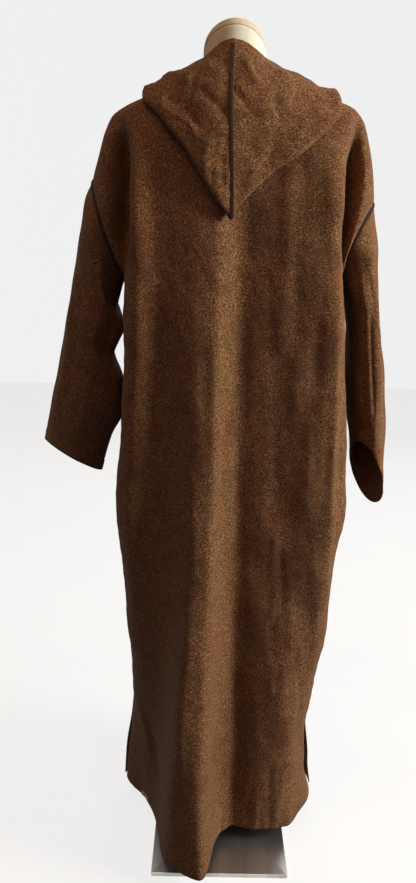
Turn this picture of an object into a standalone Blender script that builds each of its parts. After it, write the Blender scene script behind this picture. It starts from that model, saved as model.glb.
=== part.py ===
"""Hooded djellaba robe hanging on a limbless dress form, which stands on a steel base plate.

The robe's back faces -Y and its front +Y, so +X is the wearer's right. The floor is Z = 0
and the stand's pole rises at X = Y = 0. The robe is cut as a back, a front, two sleeves and
a hood in two halves. Each piece is a 2 mm wall through sections worked out from its sizes.
"""
import math

import bmesh
import bpy
import numpy as np

# Driving dimensions, in metres
CLOTH = 0.0020           # thickness of the woollen cloth
SEAM_GAP = 0.0003        # free space between two pieces at a seam
HEM_Z = 0.036            # the hem hangs clear of the base plate
UNDERARM_Z = 1.100       # lowest point of both armholes
SHOULDER_LEVEL = 1.400   # level number of the shoulder and neck line
NECK_HALF = 0.085        # half width of the neck opening
NECK_SIDE_Z = 1.428      # height of the neck opening at the shoulder seams
NECK_SPREAD = 0.120      # how far to each side the neck rounds the cloth below it
BACK_NECK = (0.078, 0.014)    # how far the back neckline lies behind and below its sides
FRONT_NECK = (0.080, 0.063)   # the same for the front neckline
NECK_SLIT_Z = 1.180      # bottom of the open slit down the centre front
NECK_SLIT_EARLY = 0.03   # a row this far below the slit's end is already open
NECK_SLIT_HALF = (0.002, 0.012)   # half width of that slit, at its bottom and its top
SHOULDER_ROUND = 3.0     # how squarely the panels turn over the shoulder line
NECK_RISE = 16           # power by which the cloth below the neck turns to the neckline
EDGE_EASE = 0.07         # share of half a row over which folds fade out towards a side edge
FOLD_ENDS = (0.15, 0.12)      # shares of a fold's length over which it starts and ends
SEAM_BLEND = 0.35        # share of a sleeve over which it leaves the shape of its armhole
SEAM_DROP = 0.15         # how far the walls at an armhole seam lean down
BRAID_WIDTH = 0.0066
BRAID_THICK = 0.0009
BRAID_LIFT = 0.0009      # free space under a braid where the cloth is flat
SEAM_STEP = 0.0015       # how far below an armhole seam its braid starts
LABEL_SIZE = (0.014, 0.011, 0.0006)
LABEL_X = -0.152
LABEL_LIFT = 0.0007      # free space under the tag

# Number of rows and columns in each piece
LOW_ROWS = 13            # hem to underarm
ARM_ROWS = 10            # underarm to shoulder line, the last two close together
LAST_TURN = 0.954        # place of the last row but one, as a share of the half turn
BACK_COLUMNS = 42
FRONT_COLUMNS = 36
SLEEVE_ROWS = 15
HOOD_STEPS = (1, 1, 1, 2, 2, 2, 1, 1, 1, 1, 2, 2, 2, 3, 1)    # rows between its key lines
HOOD_EDGE_KEY = 8        # the key line along the hood's lower edge
HOOD_COLUMNS = (0.0, 0.09, 0.18, 0.27, 0.36, 0.44, 0.52, 0.58, 0.62, 0.65, 0.66, 0.67, 0.70, 0.73,
                0.77, 0.84, 0.92, 1.0)

# Neck of the form and the stand under it
NECK_RADIUS = 0.0545
NECK_CUT = (1.470, 0.72)      # height on the axis and slope of the sloping top of the neck
NECK_GROOVE = 0.0016
CAP_THICK = 0.017
TORSO_BOTTOM = 0.700
POLE_RADIUS = 0.0125
FLANGE = (0.045, 0.006)       # radius and thickness of the pole's foot
BASE_SIZE = (0.256, 0.430, 0.008)


def columns(names, *rows):
    """Return a table as one array of numbers for each named column."""
    return dict(zip(names.split(), np.array(rows, float).T))


# Plain shape of the robe at each level below the arms: where its side edges are, how far it
# reaches behind and in front of the axis, how square it is at the left and right of the back,
# and how far forward its side edges lie
BODY = columns(
    "level left right back front square_left square_right seam_left seam_right",
    (0.036, -0.198, 0.192, 0.126, 0.168, 1.35, 2.1, 0.034, 0.010),
    (0.100, -0.193, 0.177, 0.127, 0.163, 1.50, 2.4, 0.026, 0.006),
    (0.200, -0.183, 0.171, 0.128, 0.156, 1.80, 2.8, 0.012, 0.002),
    (0.290, -0.178, 0.177, 0.130, 0.150, 2.40, 3.4, 0.000, 0.000),
    (0.420, -0.184, 0.195, 0.131, 0.143, 3.40, 4.2, 0.000, 0.000),
    (0.600, -0.197, 0.207, 0.132, 0.136, 4.40, 5.2, 0.000, 0.000),
    (0.700, -0.203, 0.219, 0.132, 0.132, 5.00, 5.8, 0.000, 0.000),
    (0.880, -0.190, 0.208, 0.132, 0.128, 5.20, 6.0, 0.000, 0.000),
    (1.040, -0.187, 0.198, 0.131, 0.126, 4.60, 5.0, 0.000, 0.000),
    (1.100, -0.186, 0.194, 0.130, 0.125, 3.60, 3.8, 0.000, 0.000),
    (1.113, -0.186, 0.194, 0.130, 0.125, 3.00, 3.0, 0.000, 0.000),
    (1.145, -0.186, 0.194, 0.129, 0.124, 2.40, 2.5, 0.000, 0.000),
    (1.200, -0.185, 0.193, 0.128, 0.123, 2.30, 2.4, 0.000, 0.000),
    (1.400, -0.185, 0.193, 0.124, 0.118, 2.40, 2.5, 0.000, 0.000),
)

# Side slits: how far the front stands out past the back there, to each side and forwards
SLITS = columns(
    "level left right open",
    (0.036, 0.005, 0.004, 0.012),
    (0.120, 0.006, 0.012, 0.009),
    (0.220, 0.001, 0.005, 0.003),
    (0.290, 0.000, 0.000, 0.000),
)

# The big fold down the back: a soft ridge at the shoulder blades that grows into a box pleat
MAIN_FOLD = columns(
    "level crest rise left right power",
    (0.036, -0.066, 0.150, 0.0525, 0.0500, 8.0),
    (0.250, -0.058, 0.106, 0.0480, 0.0420, 5.6),
    (0.450, -0.049, 0.074, 0.0450, 0.0370, 3.8),
    (0.600, -0.042, 0.056, 0.0500, 0.0340, 3.2),
    (0.800, -0.034, 0.040, 0.0580, 0.0300, 2.8),
    (1.100, -0.030, 0.025, 0.0680, 0.0270, 2.5),
    (1.230, -0.028, 0.014, 0.0680, 0.0270, 2.2),
    (1.400, -0.026, 0.000, 0.0600, 0.0300, 2.0),
)

# Softer folds: side of the robe (-1 back, 1 front), place at the top and bottom end, how far
# they stand out there, half width to the left and right, and the levels between which they run
FOLDS = columns(
    "side x_top x_low rise_top rise_low left right top low",
    (-1, -0.166, -0.176, 0.010, 0.007, 0.012, 0.030, 1.34, 0.50),
    (-1, 0.174, 0.186, 0.018, 0.016, 0.080, 0.014, 1.34, 0.46),
    (-1, 0.112, 0.142, 0.006, 0.024, 0.070, 0.020, 0.60, -0.10),
    (-1, -0.168, -0.124, 0.004, 0.010, 0.013, 0.013, 0.32, -0.06),
    (-1, 0.014, 0.030, -0.006, -0.014, 0.014, 0.022, 1.20, -0.10),
    (1, -0.125, -0.150, 0.008, 0.062, 0.030, 0.030, 1.05, -0.12),
    (1, -0.040, -0.045, 0.010, 0.070, 0.032, 0.032, 1.12, -0.12),
    (1, 0.060, 0.072, 0.010, 0.075, 0.034, 0.034, 1.08, -0.12),
    (1, 0.130, 0.160, 0.006, 0.045, 0.024, 0.024, 0.95, -0.12),
    (1, 0.012, 0.014, -0.006, -0.018, 0.024, 0.024, 0.80, -0.12),
)

# Hollow between the body and each sleeve: its place on the left and right, and its depth
ARM_HOLLOW = columns(
    "level left right deep_left deep_right",
    (1.100, -0.186, 0.196, 0.000, 0.000),
    (1.150, -0.186, 0.197, 0.014, 0.010),
    (1.210, -0.188, 0.199, 0.024, 0.020),
    (1.270, -0.190, 0.204, 0.024, 0.024),
    (1.320, -0.194, 0.209, 0.016, 0.018),
    (1.360, -0.202, 0.216, 0.005, 0.006),
    (1.400, -0.210, 0.222, 0.000, 0.000),
)
ARM_HOLLOW_HALF = (0.0120, 0.0200)    # half width towards the body and towards the sleeve

# Line of the shoulder seams, from the left armhole over the neck to the right armhole
SHOULDER_LINE = columns(
    "x z",
    (-0.246, 1.266), (-0.234, 1.305), (-0.222, 1.345), (-0.207, 1.372), (-0.150, 1.402),
    (-0.085, 1.428), (0.085, 1.428), (0.150, 1.407), (0.204, 1.389), (0.224, 1.368),
    (0.237, 1.329), (0.247, 1.283), (0.253, 1.235),
)

# Armholes: outer top end, inner end under the arm, half depth, and how late the seam swings out
ARMHOLES = columns(
    "top_x top_z under_x depth bend",
    (-0.246, 1.266, -0.186, 0.080, 0.75),
    (0.253, 1.235, 0.194, 0.080, 1.9),
)

# Sleeves, from armhole to cuff: outer edge, inner edge, half depth, lift of the back edge
SLEEVE_LEFT = columns(
    "along outer_x outer_z inner_x inner_z depth lift",
    (0.00, -0.246, 1.266, -0.186, 1.100, 0.080, 0.000),
    (0.08, -0.261, 1.232, -0.198, 1.078, 0.086, 0.000),
    (0.20, -0.271, 1.175, -0.207, 1.036, 0.088, 0.000),
    (0.30, -0.280, 1.127, -0.195, 1.004, 0.088, 0.000),
    (0.38, -0.287, 1.090, -0.203, 0.976, 0.087, 0.000),
    (0.47, -0.295, 1.045, -0.212, 0.948, 0.085, 0.000),
    (0.60, -0.307, 0.980, -0.199, 0.898, 0.082, 0.004),
    (0.73, -0.319, 0.918, -0.200, 0.842, 0.080, 0.006),
    (0.84, -0.330, 0.866, -0.219, 0.796, 0.076, 0.010),
    (1.00, -0.346, 0.789, -0.241, 0.729, 0.072, 0.014),
)
SLEEVE_RIGHT = columns(
    "along outer_x outer_z inner_x inner_z depth lift",
    (0.00, 0.253, 1.235, 0.194, 1.100, 0.080, 0.000),
    (0.15, 0.263, 1.160, 0.214, 1.050, 0.088, 0.000),
    (0.40, 0.272, 1.050, 0.224, 0.985, 0.088, 0.004),
    (0.60, 0.284, 0.940, 0.226, 0.915, 0.084, 0.014),
    (0.80, 0.295, 0.815, 0.232, 0.856, 0.078, 0.030),
    (1.00, 0.303, 0.678, 0.241, 0.786, 0.072, 0.046),
)

# Hood, from the centre back (0) over the shoulder to the centre front (1): place of its
# neck seam, of its lower edge on each side, radius and height of its rim round the neck, how
# far the collar below the rim lies, and how far the upper layer stands off the robe at the
# edge (loft) and further in (puff)
HOOD = columns(
    "s neck_x left_x left_z right_x right_z rim_r rim_z fall loft puff",
    (0.00, 0.000, 0.000, 1.196, 0.000, 1.196, 0.071, 1.484, 0.011, 0.0160, 0.018),
    (0.14, 0.020, 0.034, 1.246, 0.030, 1.232, 0.071, 1.480, 0.011, 0.0160, 0.019),
    (0.28, 0.040, 0.064, 1.288, 0.060, 1.262, 0.073, 1.469, 0.010, 0.0160, 0.018),
    (0.41, 0.058, 0.096, 1.328, 0.103, 1.299, 0.075, 1.458, 0.009, 0.0180, 0.016),
    (0.52, 0.072, 0.128, 1.365, 0.148, 1.340, 0.079, 1.454, 0.006, 0.0170, 0.013),
    (0.60, 0.081, 0.148, 1.389, 0.173, 1.372, 0.083, 1.451, 0.004, 0.0150, 0.011),
    (0.66, 0.085, 0.147, 1.500, 0.167, 1.500, 0.087, 1.448, 0.003, 0.0150, 0.010),
    (0.76, 0.078, 0.132, 1.384, 0.140, 1.380, 0.091, 1.436, 0.002, 0.0145, 0.011),
    (0.88, 0.050, 0.088, 1.356, 0.090, 1.354, 0.087, 1.414, 0.004, 0.0130, 0.012),
    (1.00, 0.018, 0.034, 1.338, 0.035, 1.338, 0.083, 1.392, 0.005, 0.0115, 0.011),
)
HOOD_SHOULDER = 0.66     # place round the hood where it crosses the shoulder line
HOOD_SHIFT = -0.011      # the hood hangs a little to the wearer's left
HOOD_SHIFT_REACH = 0.30
HOOD_MIN_DROP = 1e-7     # keeps the hood's neck seam clear of the shoulder line itself
HOOD_LEAN = (0.45, 0.9)  # outward and upward parts of the hood's direction near its seam
HOOD_LEAN_REACH = 0.6    # share of the way down, squared, where that direction ends
HOOD_SEAM_LIFT = (0.0014, 0.0024, 0.68, 0.10)    # height at the back, more at the front, start, run
HOOD_EDGE_PUSH = (0.003, 0.005)    # how far the folded lower edge lies up and out
HOOD_COLLAR = 0.008      # how much wider the hood is below its rim

# Layer of the hood that lies on the robe: share of the way to the lower edge, and height
HOOD_UNDER = columns(
    "share height",
    (0.08, 0.0036), (0.20, 0.0050), (0.36, 0.0056), (0.55, 0.0056), (0.79, 0.0050), (0.95, 0.0048),
    (1.00, 0.0060),
)
# Layer above it, from the edge back to the neck: share, and its height as parts of loft and of
# puff, and more
HOOD_OVER = columns(
    "share loft puff more",
    (1.00, 1.0, 0.0, 0.0000), (0.95, 1.0, 0.0, 0.0015), (0.82, 0.5, 0.5, 0.0020), (0.63, 0.0, 1.1, 0.0020),
    (0.39, 0.0, 1.2, 0.0030),
)

# Smooth trunk of the dress form below the shoulders: half width, reach behind and in front
TRUNK = columns(
    "z half back front",
    (0.700, 0.145, 0.095, 0.085),
    (0.760, 0.158, 0.104, 0.090),
    (0.840, 0.160, 0.104, 0.092),
    (0.940, 0.138, 0.090, 0.088),
    (1.020, 0.128, 0.084, 0.088),
    (1.120, 0.146, 0.095, 0.104),
    (1.220, 0.160, 0.104, 0.108),
    (1.300, 0.176, 0.098, 0.080),
    (1.345, 0.187, 0.082, 0.060),
)

# Shoulders of the form: half width, how far under the cloth, reach behind and in front
FORM_SHOULDERS = columns(
    "half under back front square",
    (0.180, 0.0008, 0.060, 0.046, 1.9),
    (0.160, 0.0008, 0.052, 0.040, 1.7),
    (0.135, 0.0008, 0.046, 0.034, 1.6),
    (0.110, 0.0012, 0.043, 0.029, 1.6),
    (0.092, 0.0050, 0.044, 0.026, 1.6),
    (0.074, 0.0045, 0.048, 0.034, 1.7),
    (0.060, 0.0020, 0.0525, 0.0525, 2.0),
)


def smooth(at, places, values):
    """Interpolate a column of a table without overshoot, by cubics with harmonic slopes."""
    at = np.clip(np.asarray(at, float), places[0], places[-1])
    step = np.diff(places)
    rate = np.diff(values) / step
    slopes = np.zeros(len(places))
    slopes[0], slopes[-1] = rate[0], rate[-1]
    same = rate[:-1] * rate[1:] > 0
    total = np.where(same, rate[:-1] + rate[1:], 1.0)
    slopes[1:-1] = np.where(same, 2.0 * rate[:-1] * rate[1:] / total, 0.0)
    i = np.clip(np.searchsorted(places, at, side="right") - 1, 0, len(step) - 1)
    t = (at - places[i]) / step[i]
    return (values[i] * (1 + 2 * t) * (1 - t) ** 2 + values[i + 1] * t * t * (3 - 2 * t)
            + step[i] * t * (1 - t) * (slopes[i] * (1 - t) - slopes[i + 1] * t))


def read(table, name, at):
    """Read one column of a table at the given places of its first column."""
    return smooth(at, next(iter(table.values())), table[name])


def unit(vectors):
    """Scale vectors to length one."""
    return vectors / np.maximum(np.linalg.norm(vectors, axis=-1, keepdims=True), 1e-12)


def arm_rise(level):
    """How far a level is from the underarm (0) to the shoulder line (1)."""
    return np.clip((level - UNDERARM_Z) / (SHOULDER_LEVEL - UNDERARM_Z), 0.0, 1.0)


def armhole(arm, rise, side):
    """Point of an armhole seam; arm 0 is left and 1 right, side -1 is the back."""
    top_x, top_z, under_x, depth, bend = (ARMHOLES[name][arm] for name in ARMHOLES)
    x = under_x + (top_x - under_x) * rise ** bend
    y = side * depth * 2.0 * np.sqrt(np.clip(rise * (1.0 - rise), 0.0, 1.0))
    z = UNDERARM_Z + (top_z - UNDERARM_Z) * rise
    return np.stack([x, y, z], -1)


def top_line(x, side):
    """Depth and height of the shoulder seam, or of the neckline between the shoulders."""
    inside = np.sqrt(np.clip(1.0 - (x / NECK_HALF) ** 2, 0.0, 1.0))
    reach, drop = BACK_NECK if side < 0 else FRONT_NECK
    return side * reach * inside, read(SHOULDER_LINE, "z", x) - drop * inside ** 2


def fold_height(x, level, side):
    """How far the folds push the plain shape outwards at a place."""
    lift = np.zeros(np.broadcast(x, level).shape)
    for i in range(len(FOLDS["side"])):
        if FOLDS["side"][i] != side:
            continue
        _, x_top, x_low, rise_top, rise_low, left, right, top, low = (FOLDS[name][i] for name in FOLDS)
        down = np.clip((top - level) / (top - low), 0.0, 1.0)
        ends = np.clip(down / FOLD_ENDS[0], 0.0, 1.0) * np.clip((1.0 - down) / FOLD_ENDS[1], 0.0, 1.0)
        centre = x_top + (x_low - x_top) * down
        width = np.where(x < centre, left, right)
        lift = lift + (rise_top + (rise_low - rise_top) * down) * ends \
            * np.exp(-((x - centre) / width) ** 2)
    if side < 0:
        crest = read(MAIN_FOLD, "crest", level)
        half = np.where(x < crest, read(MAIN_FOLD, "left", level), read(MAIN_FOLD, "right", level))
        away = np.abs(x - crest) / half
        lift = lift + read(MAIN_FOLD, "rise", level) / (1.0 + away ** read(MAIN_FOLD, "power", level))
    for arm in ("left", "right"):
        away = x - read(ARM_HOLLOW, arm, level)
        half = np.where((away > 0) == (arm == "left"), *ARM_HOLLOW_HALF)
        lift = lift - read(ARM_HOLLOW, "deep_" + arm, level) * np.exp(-(away / half) ** 2)
    return lift


def robe_point(across, level, side):
    """Outer surface of the robe; across runs from -1 at the left edge to 1 at the right."""
    across, level = np.broadcast_arrays(np.asarray(across, float), np.asarray(level, float))
    rise = arm_rise(level)
    below = level <= UNDERARM_Z
    apart = 1.0 if side > 0 else 0.0
    left = read(BODY, "left", level) - apart * read(SLITS, "left", level)
    right = read(BODY, "right", level) + apart * read(SLITS, "right", level)
    left = np.where(below, left, armhole(0, rise, side)[..., 0])
    right = np.where(below, right, armhole(1, rise, side)[..., 0])
    x = (left + right) / 2 + (right - left) / 2 * across
    end_x = (ARMHOLES["top_x"][0] + ARMHOLES["top_x"][1]) / 2 \
        + (ARMHOLES["top_x"][1] - ARMHOLES["top_x"][0]) / 2 * across
    top_y, top_z = top_line(end_x, side)
    reach = side * (BACK_NECK if side < 0 else FRONT_NECK)[0]
    soft_y = reach * np.clip(1.0 - (end_x / NECK_SPREAD) ** 2, 0.0, 1.0) ** 2
    top_y = soft_y + (top_y - soft_y) * rise ** NECK_RISE
    square = np.where(across < 0, read(BODY, "square_left", level), read(BODY, "square_right", level))
    dome = np.clip(1.0 - np.abs(across) ** square, 0.0, 1.0) ** (1.0 / square)
    plain = side * read(BODY, "back" if side < 0 else "front", level)
    turn = np.clip(1.0 - rise ** SHOULDER_ROUND, 0.0, 1.0) ** (1.0 / SHOULDER_ROUND)
    deep = top_y + (plain - top_y) * turn
    share = (across + 1.0) / 2
    seam = read(BODY, "seam_left", level) * (1 - share) + read(BODY, "seam_right", level) * share
    seam = seam + armhole(0, rise, side)[..., 1] + apart * read(SLITS, "open", level)
    edge_free = np.clip((1.0 - np.abs(across)) / EDGE_EASE, 0.0, 1.0)
    edge_free = edge_free * edge_free * (3.0 - 2.0 * edge_free)
    y = seam + (deep - seam) * dome + side * fold_height(x, level, side) * edge_free * turn
    z = np.where(below, level, UNDERARM_Z + (top_z - UNDERARM_Z) * rise)
    return np.stack([x, y, z], -1)


def even_row(points, count):
    """Place count points at even steps along a row of points."""
    steps = np.linalg.norm(np.diff(points, axis=0), axis=1)
    along = np.concatenate([[0.0], np.cumsum(steps)])
    at = np.linspace(0.0, along[-1], count)
    return np.stack([np.interp(at, along, points[:, k]) for k in range(3)], -1)


def armhole_turns():
    """Angles of an armhole's points, from under the arm (0) to its top (pi)."""
    return math.pi * np.append(np.linspace(0.0, 1.0, ARM_ROWS - 1)[:-1], [LAST_TURN, 1.0])


def panel_levels():
    """Levels of a panel's rows; above the underarm they follow the armhole evenly."""
    low = HEM_Z + (UNDERARM_Z - HEM_Z) * np.linspace(0.0, 1.0, LOW_ROWS)
    turn = armhole_turns()[1:]
    high = UNDERARM_Z + (SHOULDER_LEVEL - UNDERARM_Z) * (1.0 - np.cos(turn)) / 2
    return np.concatenate([low, high])


def panel_grid(side, count):
    """Outer surface of the back or front panel, as rows of evenly spaced points."""
    across = np.sin(np.linspace(-math.pi / 2, math.pi / 2, 801))
    grid = np.stack([even_row(robe_point(across, level, side), count) for level in panel_levels()])
    half = (ARMHOLES["top_x"][1] - ARMHOLES["top_x"][0]) / 2
    for corner_x in (-NECK_HALF, NECK_HALF):
        column = np.argmin(np.abs(grid[-1, :, 0] - corner_x))
        corner = (corner_x - ARMHOLES["top_x"].mean()) / half
        grid[-3:, column] = robe_point(corner, panel_levels()[-3:], side)
    grid[:, :, 1] += side * SEAM_GAP / 2
    return grid


def grid_normals(grid, wrap):
    """Normals of a grid of points, from its row and column directions."""
    if wrap:
        across = np.roll(grid, -1, 1) - np.roll(grid, 1, 1)
    else:
        across = np.gradient(grid, axis=1)
    return unit(np.cross(across, np.gradient(grid, axis=0)))


def build_object(name, vertices, faces, material):
    """Make a mesh object, with its faces turned outwards."""
    mesh = bpy.data.meshes.new(name)
    mesh.from_pydata([tuple(p) for p in vertices], [], faces)
    work = bmesh.new()
    work.from_mesh(mesh)
    bmesh.ops.recalc_face_normals(work, faces=work.faces)
    work.to_mesh(mesh)
    work.free()
    mesh.shade_smooth()
    mesh.set_sharp_from_angle(angle=math.radians(40))
    mesh.materials.append(material)
    obj = bpy.data.objects.new(name, mesh)
    PARTS.objects.link(obj)
    return obj


def wall(name, outer, inner, material, wrap=False, cut=()):
    """Close the space between an outer and an inner grid; cut lists the faces left out."""
    rows, cols = outer.shape[:2]
    count = rows * cols
    last = cols if wrap else cols - 1
    quads = [(i, j) for i in range(rows - 1) for j in range(last) if (i, j) not in cut]
    faces, edges = [], {}
    for i, j in quads:
        k = (j + 1) % cols
        loop = (i * cols + j, i * cols + k, (i + 1) * cols + k, (i + 1) * cols + j)
        faces.append(loop)
        faces.append(tuple(count + v for v in reversed(loop)))
        for a, b in zip(loop, loop[1:] + loop[:1]):
            edges[(a, b)] = (b, a)
    for (a, b), back in edges.items():
        if back not in edges:
            faces.append((b, a, a + count, b + count))
    vertices = np.concatenate([outer.reshape(-1, 3), inner.reshape(-1, 3)])
    return build_object(name, vertices, faces, material)


def slit_column(grid):
    """First of the two columns of the front panel between which its neck slit runs."""
    return int(np.argmin(np.abs(grid[-1, :-1, 0] + grid[-1, 1:, 0])))


def make_panels():
    """Make the back and the front, and return the seam data that the sleeves need."""
    grids = {-1: panel_grid(-1, BACK_COLUMNS), 1: panel_grid(1, FRONT_COLUMNS)}
    middle = slit_column(grids[1])
    levels = panel_levels()
    open_slit = np.clip((levels - NECK_SLIT_Z) / (SHOULDER_LEVEL - NECK_SLIT_Z), 0.0, 1.0)
    half = NECK_SLIT_HALF[0] + (NECK_SLIT_HALF[1] - NECK_SLIT_HALF[0]) * open_slit
    for i, level in enumerate(levels):
        row = grids[1][i]
        for column, sign in ((middle, -1.0), (middle + 1, 1.0)):
            x = sign * half[i]
            row[column] = (x, smooth(x, row[:, 0], row[:, 1]), smooth(x, row[:, 0], row[:, 2]))
    inners = {}
    for side, grid in grids.items():
        normals = -side * grid_normals(grid, False)
        for edge in (0, -1):
            normals[:, edge, 1] = 0.0
        normals[-1, :, 1] = 0.0
        inners[side] = unit(normals)
    return grids, inners


def sleeve_rings(table, arm):
    """Outer surface of a sleeve, as rings from the armhole seam to the cuff."""
    turn = armhole_turns()
    turn = np.concatenate([turn, 2 * math.pi - turn[-2:0:-1]])
    along = np.linspace(0.0, 1.0, SLEEVE_ROWS)
    outer = np.stack([read(table, "outer_x", along), 0 * along, read(table, "outer_z", along)], -1)
    inner = np.stack([read(table, "inner_x", along), 0 * along, read(table, "inner_z", along)], -1)
    middle = (outer + inner) / 2
    depth, lift = read(table, "depth", along), read(table, "lift", along)
    back = np.stack([0 * along, -depth, lift], -1)
    rings = middle[:, None] - (outer - middle)[:, None] * np.cos(turn)[None, :, None] \
        + back[:, None] * np.sin(turn)[None, :, None]
    rise = (1.0 - np.cos(turn)) / 2
    seam = armhole(arm, rise, -1)
    seam[:, 1] *= np.where(turn > math.pi, -1.0, 1.0)
    fade = np.clip(1.0 - along / SEAM_BLEND, 0.0, 1.0) ** 2
    return rings + (seam - rings[0])[None] * fade[:, None, None]


def make_robe(cloth):
    """Make the two panels and the two sleeves, with shared wall directions at the seams."""
    grids, normals = make_panels()
    upper = LOW_ROWS - 1
    rings, ring_normals = [], []
    for arm, table in enumerate((SLEEVE_LEFT, SLEEVE_RIGHT)):
        ring = sleeve_rings(table, arm)
        turned = grid_normals(ring, True) * (1.0 if arm == 0 else -1.0)
        outward = np.sign(((ring - ring.mean(1, keepdims=True)) * turned).sum())
        turned = turned * outward
        edge = 0 if arm == 0 else -1
        back = normals[-1][upper:, edge]
        front = normals[1][upper:, edge]
        around = np.concatenate([back, front[-2:0:-1]])
        shared = unit(around + turned[0] + np.array([0.0, 0.0, -SEAM_DROP]))
        away = unit(np.cross(np.roll(ring[0], -1, 0) - np.roll(ring[0], 1, 0), shared))
        away *= np.sign((away * (ring[1] - ring[0])).sum(1, keepdims=True))
        ring[0] += away * SEAM_GAP * 1.5
        turned[0] = shared
        normals[-1][upper:, edge] = shared[:ARM_ROWS]
        normals[1][upper:, edge] = np.concatenate([shared[:1], shared[:ARM_ROWS - 2:-1]])
        rings.append(ring)
        ring_normals.append(turned)
    wall("panel_back", grids[-1], grids[-1] - CLOTH * normals[-1], cloth)
    middle = slit_column(grids[1])
    slit_rows = [i for i, level in enumerate(panel_levels()[:-1]) if level >= NECK_SLIT_Z - NECK_SLIT_EARLY]
    wall("panel_front", grids[1], grids[1] - CLOTH * normals[1], cloth,
         cut=[(i, middle) for i in slit_rows])
    for name, ring, turned in zip(("sleeve_left", "sleeve_right"), rings, ring_normals):
        wall(name, ring, ring - CLOTH * turned, cloth, wrap=True)
    return rings, ring_normals


def make_armhole_braid(name, ring, turned, material):
    """Lay a flat braid on the sleeve just below its seam, open for a stretch under the arm."""
    skip = 3
    path = ring[:2, skip:ring.shape[1] - skip + 1]
    out = turned[:2, skip:ring.shape[1] - skip + 1]
    down = unit(path[1] - path[0])
    lift = out[1]
    strip = np.stack([path[0] + down * SEAM_STEP, path[0] + down * (SEAM_STEP + BRAID_WIDTH)])
    base = strip + lift * BRAID_LIFT
    wall(name, base + lift * BRAID_THICK, base, material)


def cloth_spot(x, level, side):
    """Point and outward direction of the robe at a place given by its x and level."""
    rise = arm_rise(level)
    left, right = armhole(0, rise, side)[..., 0], armhole(1, rise, side)[..., 0]
    across = (2 * x - left - right) / (right - left)
    step = 0.002
    point = robe_point(across, level, side)
    over = robe_point(across + step, level, side) - robe_point(across - step, level, side)
    up = robe_point(across, np.minimum(level + step, SHOULDER_LEVEL), side) \
        - robe_point(across, level - step, side)
    return point, -side * unit(np.cross(over, up))


def hood_spot(x, drop):
    """Point and outward direction of the robe; drop is negative behind the shoulder line."""
    level = SHOULDER_LEVEL - np.abs(drop) * (SHOULDER_LEVEL - UNDERARM_Z)
    back, back_out = cloth_spot(x, level, -1)
    front, front_out = cloth_spot(x, level, 1)
    behind = (drop <= 0)[..., None]
    return np.where(behind, back, front), np.where(behind, back_out, front_out)


def hood_grid(arm, s):
    """Outer surface of half the hood at places s, from its neck seam over its lower edge to its rim."""
    hand = -1.0 if arm == "left" else 1.0
    knots = HOOD["s"]
    edge_x, edge_z = HOOD[arm + "_x"] * hand, HOOD[arm + "_z"]
    side = np.where(knots < HOOD_SHOULDER, -1.0, 1.0)
    top_z = np.where(side < 0, top_line(edge_x, -1)[1], top_line(edge_x, 1)[1])
    root = side * np.sqrt(np.clip(1.0 - (edge_z - UNDERARM_Z) / (top_z - UNDERARM_Z), 0.0, 1.0))
    shift = HOOD_SHIFT * np.exp(-(s / HOOD_SHIFT_REACH) ** 2)
    neck_x = hand * smooth(s, knots, HOOD["neck_x"]) + 0.5 * shift
    edge_x = smooth(s, knots, edge_x) + shift
    root = smooth(s, knots, root)
    rim_r, rim_z, fall = (smooth(s, knots, HOOD[name]) for name in ("rim_r", "rim_z", "fall"))
    loft, puff = smooth(s, knots, HOOD["loft"]), smooth(s, knots, HOOD["puff"])
    facing = np.where(s < HOOD_SHOULDER, -1.0, 1.0)
    level_part, upward = np.array([1.0, 1.0, 0.0]), np.array([0.0, 0.0, 1.0])

    def spot(share, height):
        drop = facing * np.maximum((root * share) ** 2, HOOD_MIN_DROP)
        point, out = hood_spot(neck_x + (edge_x - neck_x) * share, drop)
        upright = unit(point * level_part) * HOOD_LEAN[0] + upward * HOOD_LEAN[1]
        near = max(0.0, 1.0 - share * share / HOOD_LEAN_REACH)
        out = unit(out * (1.0 - near) + upright * near)
        return point + out * np.asarray(height)[..., None]

    at_back, more, start, run = HOOD_SEAM_LIFT
    seam = spot(0.0, at_back + more * np.clip((s - start) / run, 0.0, 1.0))
    radial = unit(seam * level_part)
    collar = radial * (rim_r + HOOD_COLLAR)[:, None] + upward * (rim_z - fall)[:, None]
    rim = radial * rim_r[:, None] + upward * rim_z[:, None]
    up, out = HOOD_EDGE_PUSH
    edge = spot(1.0, loft / 2 + up)
    edge = edge + out * unit(edge - spot(0.9, loft / 2 + up))
    under = [spot(share, height) for share, height in zip(*HOOD_UNDER.values())]
    over = [spot(share, loft * part + puff * other + more)
            for share, part, other, more in zip(*HOOD_OVER.values())]
    keys = np.stack([seam, *under, edge, *over, collar, rim])
    grid = curve_through(keys, HOOD_STEPS)
    if arm == "left":
        grid[:, 0, 0] -= SEAM_GAP / 2
    else:
        grid[:, 0, 0] += SEAM_GAP / 2
    return grid


def curve_through(keys, steps):
    """Smooth curves through rows of key points, with the given number of steps between them."""
    lengths = np.linalg.norm(np.diff(keys, axis=0), axis=2).mean(1)
    places = np.concatenate([[0.0], np.cumsum(np.sqrt(lengths))])
    slopes = np.gradient(keys, places, axis=0)
    i = np.append(np.repeat(np.arange(len(steps)), steps), len(steps) - 1)
    t = np.concatenate([np.arange(n) / n for n in steps] + [[1.0]])[:, None, None]
    step = (places[i + 1] - places[i])[:, None, None]
    return (keys[i] * (1 + 2 * t) * (1 - t) ** 2 + keys[i + 1] * t * t * (3 - 2 * t)
            + step * t * (1 - t) * (slopes[i] * (1 - t) - slopes[i + 1] * t))


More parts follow.
